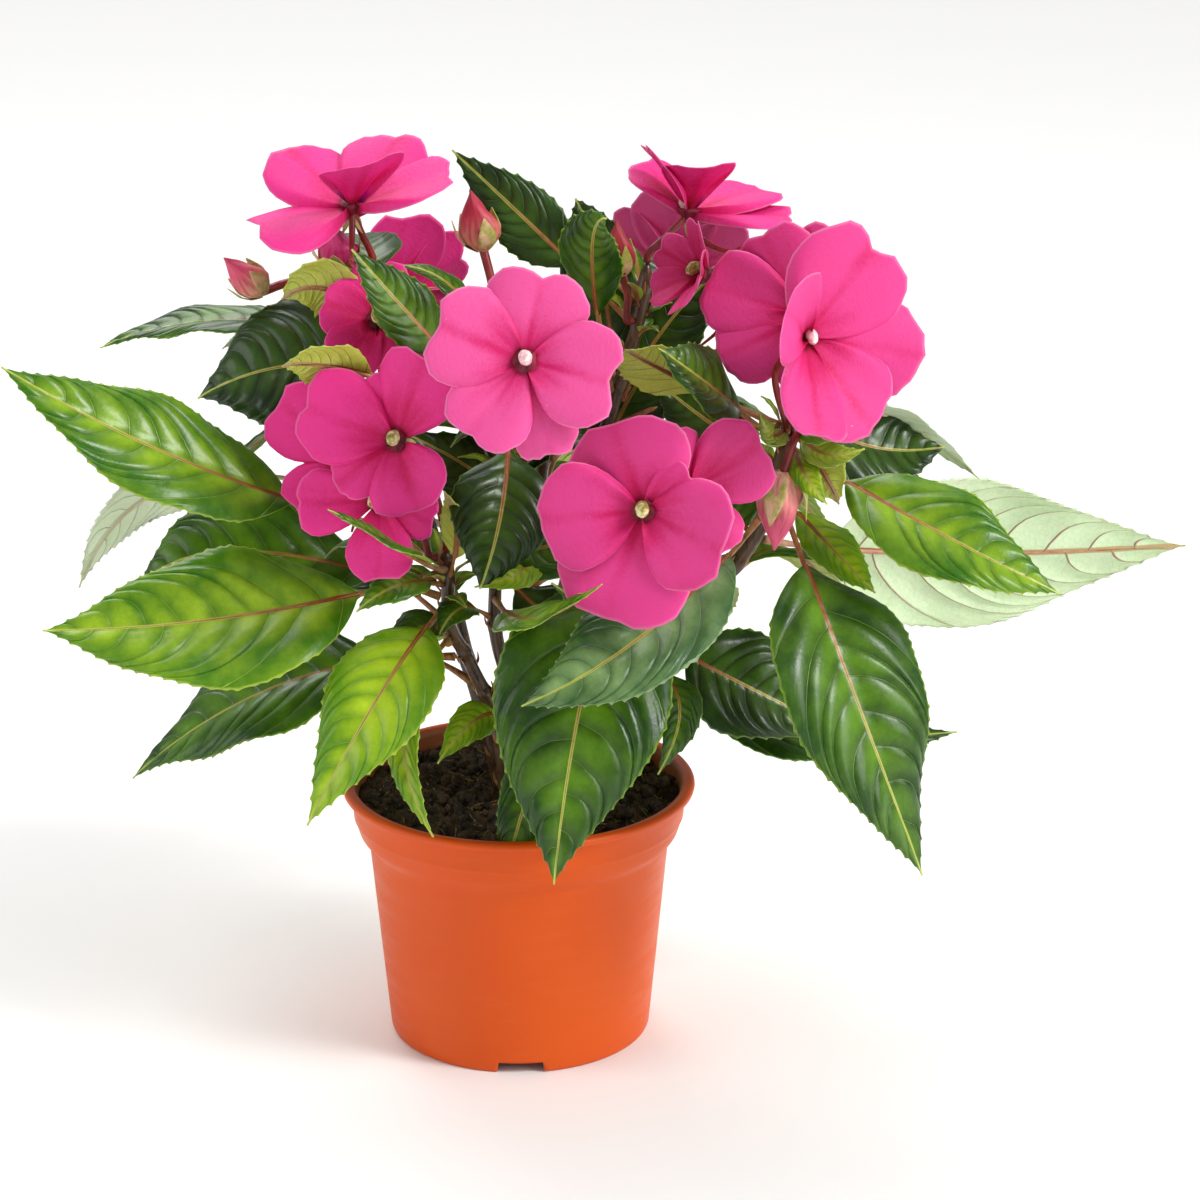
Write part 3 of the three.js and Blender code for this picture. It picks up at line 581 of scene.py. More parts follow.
# Tones of a leaf: the blade in its dark and light parts, which also give the painted shade along
# its side veins and the painted light between them, its margin, its underside and the underside's veins
TONES = {
    "dark": ("122804", "3d620a", "7d9a34", "76883c", "4c3020"),
    "middle": ("1e4205", "608c12", "99b83a", "8ca24a", "5e3a28"),
    "fresh": ("35680a", "92b41e", "bccf48", "a3b456", "74442e"),
    "bright": ("427409", "a0be20", "c6d64c", "acbd56", "7e4e38"),
    "lime": ("5c8c08", "b2cc22", "cfdc50", "b4c456", "8a5a3a"),
    # Painted highlight: a bluish white sheen painted into the blade's colours
    "sheen_painted": ("34582c", "86a468", "a9c088", "8ea066", "5e3a28"),
    "yellow": ("7c9424", "b8c948", "dbe080", "bfc64c", "2c1420"),
    # Painted light: the next two tones are whitened to stand for light shining on and through the leaf
    "pale": ("9fbc80", "c9dcb2", "d9e8c6", "c3d6b0", "a0665a"),
    "lit_white": ("c9dcbc", "dde9d2", "ecf4e4", "e0ecd8", "c2bfa4"),
}

# Midrib seen from below, near the stem and near the tip
USUAL_RIB_BELOW = ("a8604a", "b8a070")
# The whitest tone's midrib below is paled with its leaf, as painted light
RIBS_BELOW = {"lit_white": ("cdbfa6", "cfd3b8")}


def vein_nodes(nodes):
    """Share along the blade, share out to its margin, distance off the midrib, distance off the
    nearest side vein, and the place on the flat blade"""
    along, across = nodes.uv("place")
    reach = nodes.math("MULTIPLY_ADD", across, 2.0, -1.0)
    right_half = nodes.math("GREATER_THAN", reach, 0.0)
    phase = nodes.math("MULTIPLY_ADD", along, VEIN_PAIRS, nodes.math("MULTIPLY", right_half, 0.5))
    apart = nodes.math("PINGPONG", phase, 0.5)
    metric_x, metric_y = nodes.uv("metric")
    wide = nodes.math("ABSOLUTE", reach)
    return along, wide, nodes.math("ABSOLUTE", metric_x), apart, nodes.join(metric_x, metric_y)


def leaf_upper(tone):
    """Glossy green, with painted light between the side veins, a dark line of painted shade on each and
    a pale thread on each
    """
    dark, light, edge = TONES[tone][:3]
    nodes = Nodes(f"leaf_upper_{tone}", Specular_IOR_Level=0.32, Coat_Weight=0.12, Coat_Roughness=0.18,
                  **SOFT_LIGHT)
    along, wide, off_rib, apart, metric = vein_nodes(nodes)
    patches = nodes.noise(metric, 5.0, 4.0, 0.6)
    # Painted light: the blade is made lighter between the side veins, where it puffs up into the light
    puff_painted_light = nodes.ramp(apart, 0.0, 0.4, 0.45, 1.0)
    near_rib = nodes.ramp(wide, 0.05, 0.85, 0.75, 0.2)
    share = nodes.vary(nodes.math("MULTIPLY", puff_painted_light, near_rib), patches, 1.9)
    share = nodes.math("MAXIMUM", nodes.math("MINIMUM", share, 1.0), 0.0)
    colour = nodes.mix(share, dark, light)
    fine = nodes.cells(metric, 46.0)
    colour = nodes.tint(colour, dark, fine, 0.0, 0.12, 0.12, 0.0)
    # Painted shade: a dark line along each side vein, where its groove lies in shade
    line = nodes.ramp(apart, 0.006, 0.05, 1.0, 0.0)
    colour = nodes.mix(nodes.math("MULTIPLY", line, 0.5), colour, dark)
    colour = nodes.tint(colour, edge, apart, 0.004, 0.014, 0.35, 0.0)
    colour = nodes.tint(colour, edge, wide, 0.965, 1.0, 0.0, 0.55)
    rib_width = nodes.math("MULTIPLY_ADD", along, -0.006, 0.0085)
    inside = nodes.math("SUBTRACT", off_rib, rib_width)
    rib_colour = nodes.tint("93421f", "b9c45a", along, 0.02, 0.75)
    colour = nodes.tint(colour, rib_colour, inside, -0.001, 0.002, 1.0, 0.0)
    roughness = nodes.ramp(patches, 0.3, 0.8, 0.28, 0.42)
    height = nodes.math("MULTIPLY_ADD", fine, 0.5, nodes.noise(metric, 34.0, 3.0))
    return nodes.finish(colour, roughness, nodes.math("SUBTRACT", height, line), 0.00012)


def leaf_lower(tone):
    """Dull and paler, with side veins that fade towards the margin"""
    edge, under, vein = TONES[tone][2:]
    nodes = Nodes(f"leaf_lower_{tone}", **SOFT_LIGHT)
    along, wide, off_rib, apart, metric = vein_nodes(nodes)
    patches = nodes.noise(metric, 8.0, 3.0)
    colour = nodes.tint(under, edge, patches, 0.3, 0.75, 0.0, 0.45)
    fine = nodes.cells(metric, 40.0)
    colour = nodes.tint(colour, vein, fine, 0.0, 0.1, 0.1, 0.0)
    line = nodes.ramp(apart, 0.01, 0.035, 1.0, 0.0)
    fade = nodes.ramp(wide, 0.3, 1.0, 0.9, 0.3)
    colour = nodes.mix(nodes.math("MULTIPLY", line, fade), colour, vein)
    inside = nodes.math("SUBTRACT", off_rib, 0.012)
    rib_colour = nodes.tint(*RIBS_BELOW.get(tone, USUAL_RIB_BELOW), along, 0.1, 0.9)
    colour = nodes.tint(colour, rib_colour, inside, -0.003, 0.001, 1.0, 0.0)
    height = nodes.math("MULTIPLY_ADD", line, 1.5, nodes.noise(metric, 50.0, 4.0))
    return nodes.finish(colour, nodes.ramp(patches, 0.3, 0.8, 0.48, 0.6), height, 0.0003)


def stalk_material(name, dark, light, roughness):
    """Two colours in long streaks and soft blotches"""
    nodes = Nodes(name, Subsurface_Weight=0.15, Subsurface_Scale=0.001)
    vector, parts = nodes.place()
    streak = nodes.noise(nodes.stretched(parts, 0.25), 420.0, 3.0)
    blotch = nodes.noise(vector, 60.0, 2.0)
    share = nodes.math("MULTIPLY_ADD", blotch, 0.8, nodes.math("MULTIPLY", streak, 0.5))
    colour = nodes.tint(dark, light, share, 0.4, 0.9)
    uneven = nodes.ramp(streak, 0.3, 0.8, roughness, roughness + 0.18)
    return nodes.finish(colour, uneven, streak, 0.0003)


def petal_material(name, light, deep, rim):
    """Velvety, deeper towards the throat and along the middle, with streaks, clouds, a pale rim
    and pale streaks of painted glare"""
    nodes = Nodes(name, Specular_IOR_Level=0.3, Subsurface_Weight=0.08, Subsurface_Scale=0.0005,
                  Subsurface_Radius=(0.8, 0.7, 0.7))
    across, radius = nodes.uv("place")
    reach, seed = nodes.uv("metric")
    out = nodes.math("MULTIPLY", radius, PETAL_UV_SPAN)
    streak = nodes.noise(nodes.join(nodes.math("MULTIPLY", across, 26.0), out, seed), 1.0, 4.0, 0.7)
    cloud = nodes.noise(nodes.join(nodes.math("MULTIPLY", across, 2.0), radius, seed), 2.2, 2.0)
    share = nodes.vary(nodes.ramp(out, 3.0, 24.0, 0.75, 0.05), streak, 0.5)
    share = nodes.vary(share, cloud, 1.1)
    middle = nodes.math("ABSOLUTE", nodes.math("SUBTRACT", across, 0.5))
    share = nodes.math("ADD", share, nodes.ramp(middle, 0.0, 0.09, 0.3, 0.0))
    colour = nodes.tint(light, deep, share, 0.0, 1.0)
    colour = nodes.tint(colour, rim, reach, 0.965, 1.0, 0.0, 0.4)
    # Painted highlight: pale pink streaks of glare on the velvet
    sideways = nodes.math("MULTIPLY", across, 9.0)
    glare_painted_place = nodes.join(sideways, nodes.math("MULTIPLY", radius, 20.0), seed)
    glare_painted = nodes.noise(glare_painted_place, 2.0, 5.0, 0.75)
    colour = nodes.tint(colour, "ffd7ea", glare_painted, 0.69, 0.76, 0.0, 0.55)
    colour = nodes.tint(colour, "a80838", out, 3.2, 6.4, 1.0, 0.0)
    return nodes.finish(colour, nodes.ramp(streak, 0.2, 0.8, 0.5, 0.66), streak, 0.00025)


def blotched(name, dark, light, scale, roughness, depth=0.0003, **uniform):
    """Two colours in soft blotches with a fine grain"""
    nodes = Nodes(name, **uniform)
    vector, _ = nodes.place()
    grain = nodes.noise(vector, scale * 6, 4.0)
    colour = nodes.tint(dark, light, nodes.noise(vector, scale, 3.0), 0.35, 0.65)
    return nodes.finish(colour, nodes.ramp(grain, 0.3, 0.8, roughness, roughness + 0.15), grain, depth)


def bud_material(name, base, tip, stripe):
    """From the base colour to that of the tip, with stripes along it"""
    nodes = Nodes(name, Subsurface_Weight=0.4, Subsurface_Scale=0.0015)
    along, around = nodes.uv("place")
    streak = nodes.noise(nodes.join(nodes.math("MULTIPLY", around, 14.0), along, 0.0), 1.6, 4.0, 0.6)
    colour = nodes.tint(base, tip, along, 0.1, 0.7)
    colour = nodes.tint(colour, stripe, streak, 0.48, 0.66, 0.0, 0.75)
    return nodes.finish(colour, 0.42, streak, 0.0004)


def soil_material():
    """Dark peat with light specks"""
    nodes = Nodes("peat")
    vector, _ = nodes.place()
    coarse = nodes.noise(vector, 130.0, 6.0, 0.7)
    fine = nodes.noise(vector, 900.0, 4.0)
    colour = nodes.tint("1a120c", "584530", coarse, 0.38, 0.66)
    colour = nodes.tint(colour, "8c7450", fine, 0.6, 0.74, 0.0, 0.75)
    height = nodes.math("MULTIPLY_ADD", fine, 0.4, coarse)
    return nodes.finish(colour, nodes.ramp(fine, 0.3, 0.7, 0.8, 0.98), height, 0.0015)


def pot_material(name, base, worn, dust, dust_share):
    """Moulded plastic with faint rings, dust in them and scratches round it"""
    nodes = Nodes(name, Specular_IOR_Level=0.28)
    vector, parts = nodes.place()
    broad = nodes.noise(vector, 14.0, 3.0)
    rings = nodes.noise(nodes.stretched(parts, 5.0), 40.0, 4.0, 0.6)
    grain = nodes.noise(vector, 900.0, 2.0)
    colour = nodes.tint(base, worn, broad, 0.3, 0.7, 0.0, 0.5)
    dusty = nodes.math("MULTIPLY", nodes.ramp(rings, 0.5, 0.75), dust_share)
    colour = nodes.mix(dusty, colour, dust)
    scratch = nodes.noise(nodes.stretched(parts, 14.0), 55.0, 5.0, 0.7)
    colour = nodes.tint(colour, dust, scratch, 0.78, 0.84, 0.0, 0.5)
    roughness = nodes.ramp(rings, 0.3, 0.8, 0.36, 0.56)
    height = nodes.math("MULTIPLY_ADD", grain, 0.3, rings)
    return nodes.finish(colour, roughness, height, 0.0001)


POT_SKIN = pot_material("pot_skin", "d44e03", "d75a0a", "dc9068", 0.06)
POT_INSIDE = pot_material("pot_inside", "a85c34", "b07a54", "bfa284", 0.8)
SOIL = soil_material()
LEAF_MATERIALS = {tone: [leaf_upper(tone), leaf_lower(tone)] for tone in TONES}
PETALS = {
    "light": petal_material("petal_light", "e65298", "ce0a62", "f5a6cb"),
    "middle": petal_material("petal_middle", "de3c8a", "c80058", "f29cc4"),
    "deep": petal_material("petal_deep", "e8308c", "cb0059", "f28fbe"),
}
STEM = stalk_material("stem_skin", "38201a", "6a5036", 0.22)
PEDICEL = stalk_material("flower_stalk_skin", "5d1018", "a5352f", 0.3)
RIB = stalk_material("leaf_stalk_skin", "7e3a22", "b98a4c", 0.35)
# Leaf stalks of the two whitened tones, paled with them as painted light
PALE_RIBS = {
    "pale": stalk_material("leaf_stalk_pale_skin", "a85a48", "c9a27c", 0.4),
    "lit_white": stalk_material("leaf_stalk_white_skin", "c4b498", "dcd8c0", 0.45),
}
COLUMN_WHITE = blotched("column_white", "e8a8b0", "fdf6ee", 500.0, 0.5)
COLUMN_GREEN = blotched("column_green", "8a7a20", "ece6a8", 450.0, 0.5)
SEPAL = blotched("sepal", "9aa43c", "dcb890", 220.0, 0.45)
FIBRE = blotched("peat_fibre", "4a321c", "a88652", 300.0, 0.85)
THROAT = blotched("throat", "5a0620", "98103a", 400.0, 0.5)
BUD_PINK = bud_material("bud_pink", "e3b08a", "d8476e", "b8244f")
BUD_LOOKS = {
    "top_left": bud_material("bud_deep", "d98c74", "bf3048", "8e1c34"),
    "round": bud_material("bud_magenta", "d02a76", "e0408c", "b01560"),
    "pendulous": bud_material("bud_striped", "e6a08c", "e0567e", "9c1c34"),
    "top_middle": bud_material("bud_red", "8c2a30", "b02838", "6a1420"),
}


# Stems
stems = {}
for name, radius, points in STEMS:
    path = [(x, y, z[0] if z else STEM_START_HEIGHT) for x, y, *z in points]
    stems[name] = (radius, spline(path, 120))


def stem_point(stem, share):
    path = stems[stem][1]
    return path[int(share * (len(path) - 1))]


def stalk_foot(stem, share, target, slope_room=0.0):
    """Where a stalk that heads for a target starts beside its stem, and how it sets out"""
    radius, path = stems[stem]
    at = share * (len(path) - 1)
    low = min(int(at), len(path) - 2)
    point = path[low] + (path[low + 1] - path[low]) * (at - low)
    heading = unit(path[low + 1] - path[low])
    clearance = FOOT_GAP
    if share < 1:
        towards = unit(np.array(target, float) - point)
        slope = heading @ towards
        heading = unit(towards - slope * heading)
        clearance += radius + slope_room * abs(slope)
    return point + heading * clearance, heading


# Joints of a stem: the first and the step to the next as shares of its length, and how much they
# add to its radius. Then how far a stem strays from its line, and its dry scales stand out and up.
FIRST_JOINT = 0.12
JOINT_STEP = 0.17
JOINT_SWELL = 0.16
STEM_WOBBLE = 0.35
SCALE_REACH = 2.2
SCALE_RISE = 4.5


def add_stems():
    for number, (name, (radius, path)) in enumerate(stems.items()):
        share = np.linspace(0, 1, len(path))
        shape = Shape()
        joints = np.arange(FIRST_JOINT, 1.0, JOINT_STEP) + 0.02 * math.sin(number)
        swell = sum(np.exp(-(((share - j) / 0.014) ** 2)) for j in joints)
        radii = radius * (0.9 + JOINT_SWELL * swell - 0.12 * share)
        radii[-4:] *= [0.95, 0.85, 0.65, 0.3]
        waves = [np.sin(share * 23 + number), np.cos(share * 19), 0 * share]
        wobble = STEM_WOBBLE * np.column_stack(waves) * smoothstep(share, 0, 0.1)[:, None]
        add_tube(shape, path + wobble, radii, 20, 0, 0.05, 4, 3.0)
        for joint in joints:
            add_scales(shape, path, radius, joint, number)
        finish_piece(shape.build(f"stem_{name}_skin", [STEM, RIB]), "stem", f"stem_{name}")


def add_scales(shape, path, radius, share, seed):
    """Small dry scales at a joint of a stem"""
    at = int(share * (len(path) - 1))
    up = unit(path[at + 1] - path[at])
    out = unit(np.cross(up, [math.cos(seed + 9 * share), math.sin(seed + 9 * share), 0.1]))
    for turn in (1, -1):
        start = path[at] + turn * out * radius * 0.8
        tip = start + turn * out * SCALE_REACH + up * SCALE_RISE
        add_tube(shape, spline([start, start + turn * out * 1.6 + up * 1.5, tip], 6),
                 np.linspace(0.8, 0.15, 7), 8, 1)


# Leaves
UPPER, LOWER, MIDRIB = range(3)


def blade_half_width(u, width):
    """From the midrib to the margin, without the teeth"""
    base_power = BLADE_TIP_POWER * BLADE_WIDEST / (1 - BLADE_WIDEST)
    widest = BLADE_WIDEST**base_power * (1 - BLADE_WIDEST) ** BLADE_TIP_POWER
    outline = u**base_power * (1 - u) ** BLADE_TIP_POWER / widest
    floor = PETIOLE_RADIUS * (1 - u) * min(1, width / 20) + TIP_HALF_WIDTH * u
    return np.maximum(0.5 * width * outline, floor)


def vein_relief(u, reach):
    """The blade stands up between its side veins"""
    wide = np.abs(reach)
    between = np.abs(np.sin(math.pi * (u * VEIN_PAIRS + 0.5 * (reach > 0)))) ** 0.65
    return between * wide**0.4 * (1 - wide**5) * smoothstep(u, 0, 0.08) * smoothstep(1 - u, 0, 0.15)


def blade_grid(length, width, seed, fineness):
    """Rows and columns of a blade's grid as shares along it and out to its margin, and how far
    along the midrib each point lies. The rows follow the side veins, which sweep to the tip."""
    rows = int(np.clip(length * BLADE_ROWS_PER_MM * fineness, *BLADE_ROW_LIMITS))
    half_columns = int(np.clip(width / BLADE_COLUMN_WIDTH * fineness, *HALF_COLUMN_LIMITS))
    crowd = 0.45 * math.pi
    reach = np.sin(np.linspace(-crowd, crowd, 2 * half_columns + 1)) / math.sin(crowd)
    grid_u, grid_reach = np.meshgrid(np.linspace(0, 1, rows), reach, indexing="ij")
    wide = np.abs(grid_reach)
    sweep = VEIN_LEAN * wide + VEIN_CURL * wide**3
    uneven = 0.011 * np.sin(2 * math.pi * (3.3 * grid_u + 0.37 * seed) + 1.8 * (grid_reach > 0))
    share = grid_u + sweep * (1 - grid_u) * smoothstep(grid_u, 0, 0.25)
    share += uneven * smoothstep(wide, 0, 0.3) * smoothstep(grid_u * (1 - grid_u), 0, 0.1)
    return grid_u, grid_reach, share


def tooth_reach(share, right_half, length, width):
    """How far the hooked teeth of the margin stand out"""
    tooth = (share * length / TOOTH_SPACING + 0.37 * right_half) % 1
    hook = tooth**2.4 * (1 - smoothstep(tooth, 0.88, 1.0)) * min(1.0, width / 26) * TOOTH_LENGTH
    return hook * (smoothstep(share, 0.08, 0.2) * smoothstep(1 - share, 0.0, 0.08))


def blade_rise(grid_u, grid_reach, share, half, width, fold, seed):
    """How far the blade stands above the flat one: folded, puffed between its veins and wavy"""
    wide = np.abs(grid_reach)
    lift = math.tan(math.radians(fold))
    rise = half * (wide * lift * (1.7 - 0.9 * wide) - 0.1 * wide**2)
    rise += VEIN_DEPTH * width * vein_relief(grid_u, grid_reach)
    wave = np.sin(2 * math.pi * (2.6 * share + 0.31 * seed) + 2.0 * (grid_reach > 0))
    rise += BLADE_WAVE * width * wave * wide**2 * smoothstep(1 - share, 0, 0.3)
    return rise * smoothstep(share, 0, 0.06)


def add_midrib(shape, curve, facing, length, width, petiole):
    """The stalk of a leaf, which runs on under the blade as its midrib"""
    stalk_rings = int(np.clip(length * petiole / 3, 4, 10))
    rib_rings = int(np.clip(length / 4, 6, 30))
    along = np.concatenate([np.linspace(0, petiole, stalk_rings, endpoint=False),
                            np.linspace(petiole, MIDRIB_END, rib_rings)])
    rib, tangent = bezier(*curve, along)
    normal = np.cross(tangent, unit(np.cross(facing, tangent)))
    thickness = PETIOLE_RADIUS * min(1, width / 20)
    places = [0, 0.5 * petiole, petiole, MIDRIB_END]
    radii = thickness * np.interp(along, places, [1.5, 0.95, 0.85, 0.16])
    rib = rib - normal * (radii * 0.75 * smoothstep(along, 0, petiole))[:, None]
    add_tube(shape, rib, radii, 8, MIDRIB)


def add_leaf(shape, foot, via, tip, facing, width, fold, petiole, seed, fineness=1.0):
    """A blade with a toothed margin on its stalk"""
    foot, via, tip, facing = (np.array(p, float) for p in (foot, via, tip, facing))
    curve = (foot, 2 * via - 0.5 * (foot + tip), tip)
    length = np.linalg.norm(via - foot) + np.linalg.norm(tip - via)
    blade_length = length * (1 - petiole)
    grid_u, grid_reach, share = blade_grid(length, width, seed, fineness)
    wide = np.abs(grid_reach)
    point, tangent = bezier(*curve, petiole + (1 - petiole) * share.ravel())
    side = unit(np.cross(facing, tangent))
    normal = np.cross(tangent, side).reshape(*share.shape, 3)
    half = blade_half_width(share, width)
    teeth = tooth_reach(share, grid_reach > 0, blade_length, width)
    across = grid_reach * half + np.sign(grid_reach) * teeth * wide**9
    rise = blade_rise(grid_u, grid_reach, share, half, width, fold, seed)
    top = point.reshape(*share.shape, 3) + across[..., None] * side.reshape(*share.shape, 3)
    top += rise[..., None] * normal
    thick = BLADE_THICKNESS * (1 - 0.45 * wide**3)
    metric_y = share * blade_length / 100 + 0.37 * seed
    uvs = np.stack([grid_u, (grid_reach + 1) / 2, across / 100, metric_y], -1).reshape(-1, 4)
    add_sheet(shape, top, top - thick[..., None] * normal, uvs, UPPER, LOWER)
    add_midrib(shape, curve, facing, length, width, petiole)


def tone_of(name, tones, usual):
    """The tone under which a name is listed"""
    for tone, names in tones.items():
        if name in names:
            return tone
    return usual


def leaf_piece(name, tone, seed, *leaf, fineness=1.0):
    shape = Shape()
    add_leaf(shape, *leaf, seed, fineness)
    return shape.build(name, [*LEAF_MATERIALS[tone], PALE_RIBS.get(tone, RIB)])


def add_leaves():
    for seed, (name, stem, share, via, *rest) in enumerate(LEAVES + SMALL_LEAVES):
        foot, _ = stalk_foot(stem, share, via, 0.6 * PETIOLE_RADIUS)
        tone = tone_of(name, LEAF_TONES, "middle")
        piece = leaf_piece(f"leaf_{name}_blade", tone, seed, foot, via, *rest)
        finish_piece(piece, "leaf", *([f"leaf_{name}"] if seed < len(LEAVES) else []))
    for seed, (stem, share, direction, length, width, drop) in enumerate(BACK_LEAVES):
        turn = math.radians(direction)
        out = np.array([math.cos(turn), math.sin(turn), 0])
        foot, _ = stalk_foot(stem, share, stem_point(stem, share) + 50 * out, 0.6 * PETIOLE_RADIUS)
        up = np.array([0, 0, 1])
        via = foot + 0.52 * length * out + (0.16 * length - 0.25 * drop) * up
        tip = foot + 0.95 * length * out - drop * up
        facing = unit(0.45 * out + up)
        tone = BACK_TONES[seed % len(BACK_TONES)]
        piece = leaf_piece(f"back_leaf_{seed}", tone, seed, foot, via, tip, facing, width, 9, 0.2,
                           fineness=0.6)
        finish_piece(piece, "leaf")


# Young leaves: how many there are round the top of a stem, the turn from one to the next, the
# length of the shortest and how much longer the longest is
SHOOT_LEAVES = 9
SHOOT_TURN = 2.4
SHOOT_LENGTH = 11
SHOOT_EXTRA = 11


def add_shoots():
    """Narrow young leaves round the top of each stem"""
    for number, (name, (radius, path)) in enumerate(stems.items()):
        shape = Shape()
        up = unit(path[-1] - path[-4])
        right, top, _ = facing_basis(up + [0.1, 0, 0])
        for k in range(SHOOT_LEAVES):
            out = swing(SHOOT_TURN * k + number, right, top)
            length = SHOOT_LENGTH + SHOOT_EXTRA * ((k * 0.618 + 0.3 * number) % 1)
            foot = path[-6 - 2 * k] + out * radius * 0.7
            via = foot + out * length * 0.42 + up * length * (0.5 - 0.03 * k)
            tip = foot + out * length * (0.75 + 0.04 * k) + up * length * (0.8 - 0.08 * k)
            add_leaf(shape, foot, via, tip, up - 0.6 * out, 5.5 + 0.3 * k, 16, 0.12, k)
        tone = "lime" if number % 2 else "fresh"
        finish_piece(shape.build(f"shoot_{name}", [*LEAF_MATERIALS[tone], RIB]), "leaf")


# Sepals, with the sizes of those behind a flower
SEPAL_LENGTH = 7
SEPAL_WIDTH = 4
SEPAL_THICKNESS = 0.35
SEPAL_CLEARANCES = [0.9, 2.4, 3.6]


def add_sepal(shape, start, out, axis, length, width, slot, clearances):
    """A small pointed leaf that keeps the given clearances from an axis on its way"""
    rows, columns = 16, 7
    u = np.linspace(0, 1, rows)
    x = np.linspace(-1, 1, columns)
    side = np.cross(axis, out)
    grid_u, grid_x = np.meshgrid(u, x, indexing="ij")
    half = 0.5 * width * np.sin(math.pi * (0.1 + 0.88 * u**0.8))[:, None]
    along = grid_u * length
    across = grid_x * half
    lean = np.interp(grid_u, np.linspace(0, 1, len(clearances)), clearances) - 0.1 * across**2 / width
    grid = start + along[..., None] * axis + lean[..., None] * out + across[..., None] * side
    uvs = np.stack([grid_u, (grid_x + 1) / 2, grid_u, grid_x], -1).reshape(-1, 4)
    add_sheet(shape, grid + SEPAL_THICKNESS * out, grid, uvs, slot, slot)


# Flowers
ON_PETAL, ON_STALK, ON_COLUMN, ON_THROAT, ON_SEPAL = range(5)

# Radius of the column in the throat at shares of its length, and the flowers where it is white
COLUMN_PROFILE = ([0, 0.3, 0.62, 0.9, 1], [1.1, 1.4, 2.3, 1.7, 0.4])
WHITE_COLUMNS = ["middle", "right", "back_right", "top_right"]

# Bends of the parts in the middle of a flower, as steps forward and up from its throat
COLUMN_BENDS = [(0, 0), (3, 2.2), (5.4, -1.6)]
THROAT_BENDS = [(1.3, 0), (-0.5, 0), (-4, 0)]
SPUR_BENDS = [(-2, 0), (-9, -5), (-13, -16), (-8, -25)]
COLUMN_LEAN = 1.6
THROAT_RADII = (4.1, 1.3)
SPUR_RADII = (1.4, 0.45)
PEDICEL_RADII = (1.45, 1.1)

# How far a petal's surface is wavy, curls back at its edge and is creased along its middle, as
# shares of the flower's radius
PETAL_WAVE = 0.045
PETAL_CURL = 0.09
PETAL_CREASE = 0.035


def add_petal(shape, basis, middle, radius, cup, petal, seed):
    """A petal with a notched and wavy edge, which lies over those with a lower place"""
    angle, length, half_angle, notch, lean, order = petal
    right, top, forward = basis
    rows, columns = 20, 25
    crowd = math.pi / 2 * 0.85
    x = np.sin(np.linspace(-1, 1, columns) * crowd) / math.sin(crowd)
    r = np.linspace(0.05, 1, rows)
    grid_r, grid_x = np.meshgrid(r, x, indexing="ij")
    edge = np.maximum((1 - np.abs(x) ** 3.2) ** 0.5, 0.05) * (1 - notch * np.exp(-((x / 0.17) ** 2)))
    edge *= 1 + 0.018 * np.sin(9 * x + seed) + 0.01 * np.sin(23 * x + 2 * seed)
    out = grid_r * radius * length * edge[None, :]
    turn = math.radians(angle) + grid_x * math.radians(half_angle * 1.12)
    rise = cup * (out / radius) ** 1.5 + out * math.tan(math.radians(lean))
    rise += PETAL_STEP * order * smoothstep(grid_r, 0.02, 0.5)
    rise += PETAL_WAVE * radius * np.sin(4.2 * grid_x + 1.7 * seed) * grid_r**2
    rise -= PETAL_CURL * radius * grid_r**5 * (0.4 + np.abs(grid_x))
    rise -= PETAL_CREASE * radius * np.exp(-((grid_x / 0.12) ** 2)) * grid_r * (1.15 - grid_r)
    direction = np.cos(turn)[..., None] * right + np.sin(turn)[..., None] * top
    grid = np.asarray(middle, float) + out[..., None] * direction + rise[..., None] * forward
    thick = PETAL_THICKNESS * (1 - 0.55 * grid_r**4)
    back = grid - thick[..., None] * forward
    uvs = np.stack([(grid_x + 1) / 2, out / PETAL_UV_SPAN, grid_r, 0 * grid_r + 0.61 * seed], -1)
    add_sheet(shape, grid, back, uvs.reshape(-1, 4), ON_PETAL, ON_PETAL)


def stalk_path(stem, share, bends, end):
    """The way of a flower stalk from its stem"""
    foot, heading = stalk_foot(stem, share, bends[0])
    return spline([foot, foot + heading * STALK_LEAD, *bends, end], 30)


def add_flower_middle(shape, centre, basis, number):
    """The column, the throat round it and the spur behind it"""
    right, top, forward = basis
    column, throat, spur = (
        [centre + ahead * forward + up * top for ahead, up in bends]
        for bends in (COLUMN_BENDS, THROAT_BENDS, SPUR_BENDS)
    )
    lean = COLUMN_LEAN * math.sin(2.2 * number) * right
    column[1] = column[1] + 0.2 * lean
    column[2] = column[2] + lean
    column_radii = np.interp(np.linspace(0, 1, 13), *COLUMN_PROFILE)
    add_tube(shape, spline(column, 12), column_radii, 14, ON_COLUMN, 0.1, 2)
    add_tube(shape, spline(throat, 8), np.linspace(*THROAT_RADII, 9), 20, ON_THROAT, 0.08, 5)
    add_tube(shape, spline(spur, 24), np.linspace(*SPUR_RADII, 25), 10, ON_STALK)


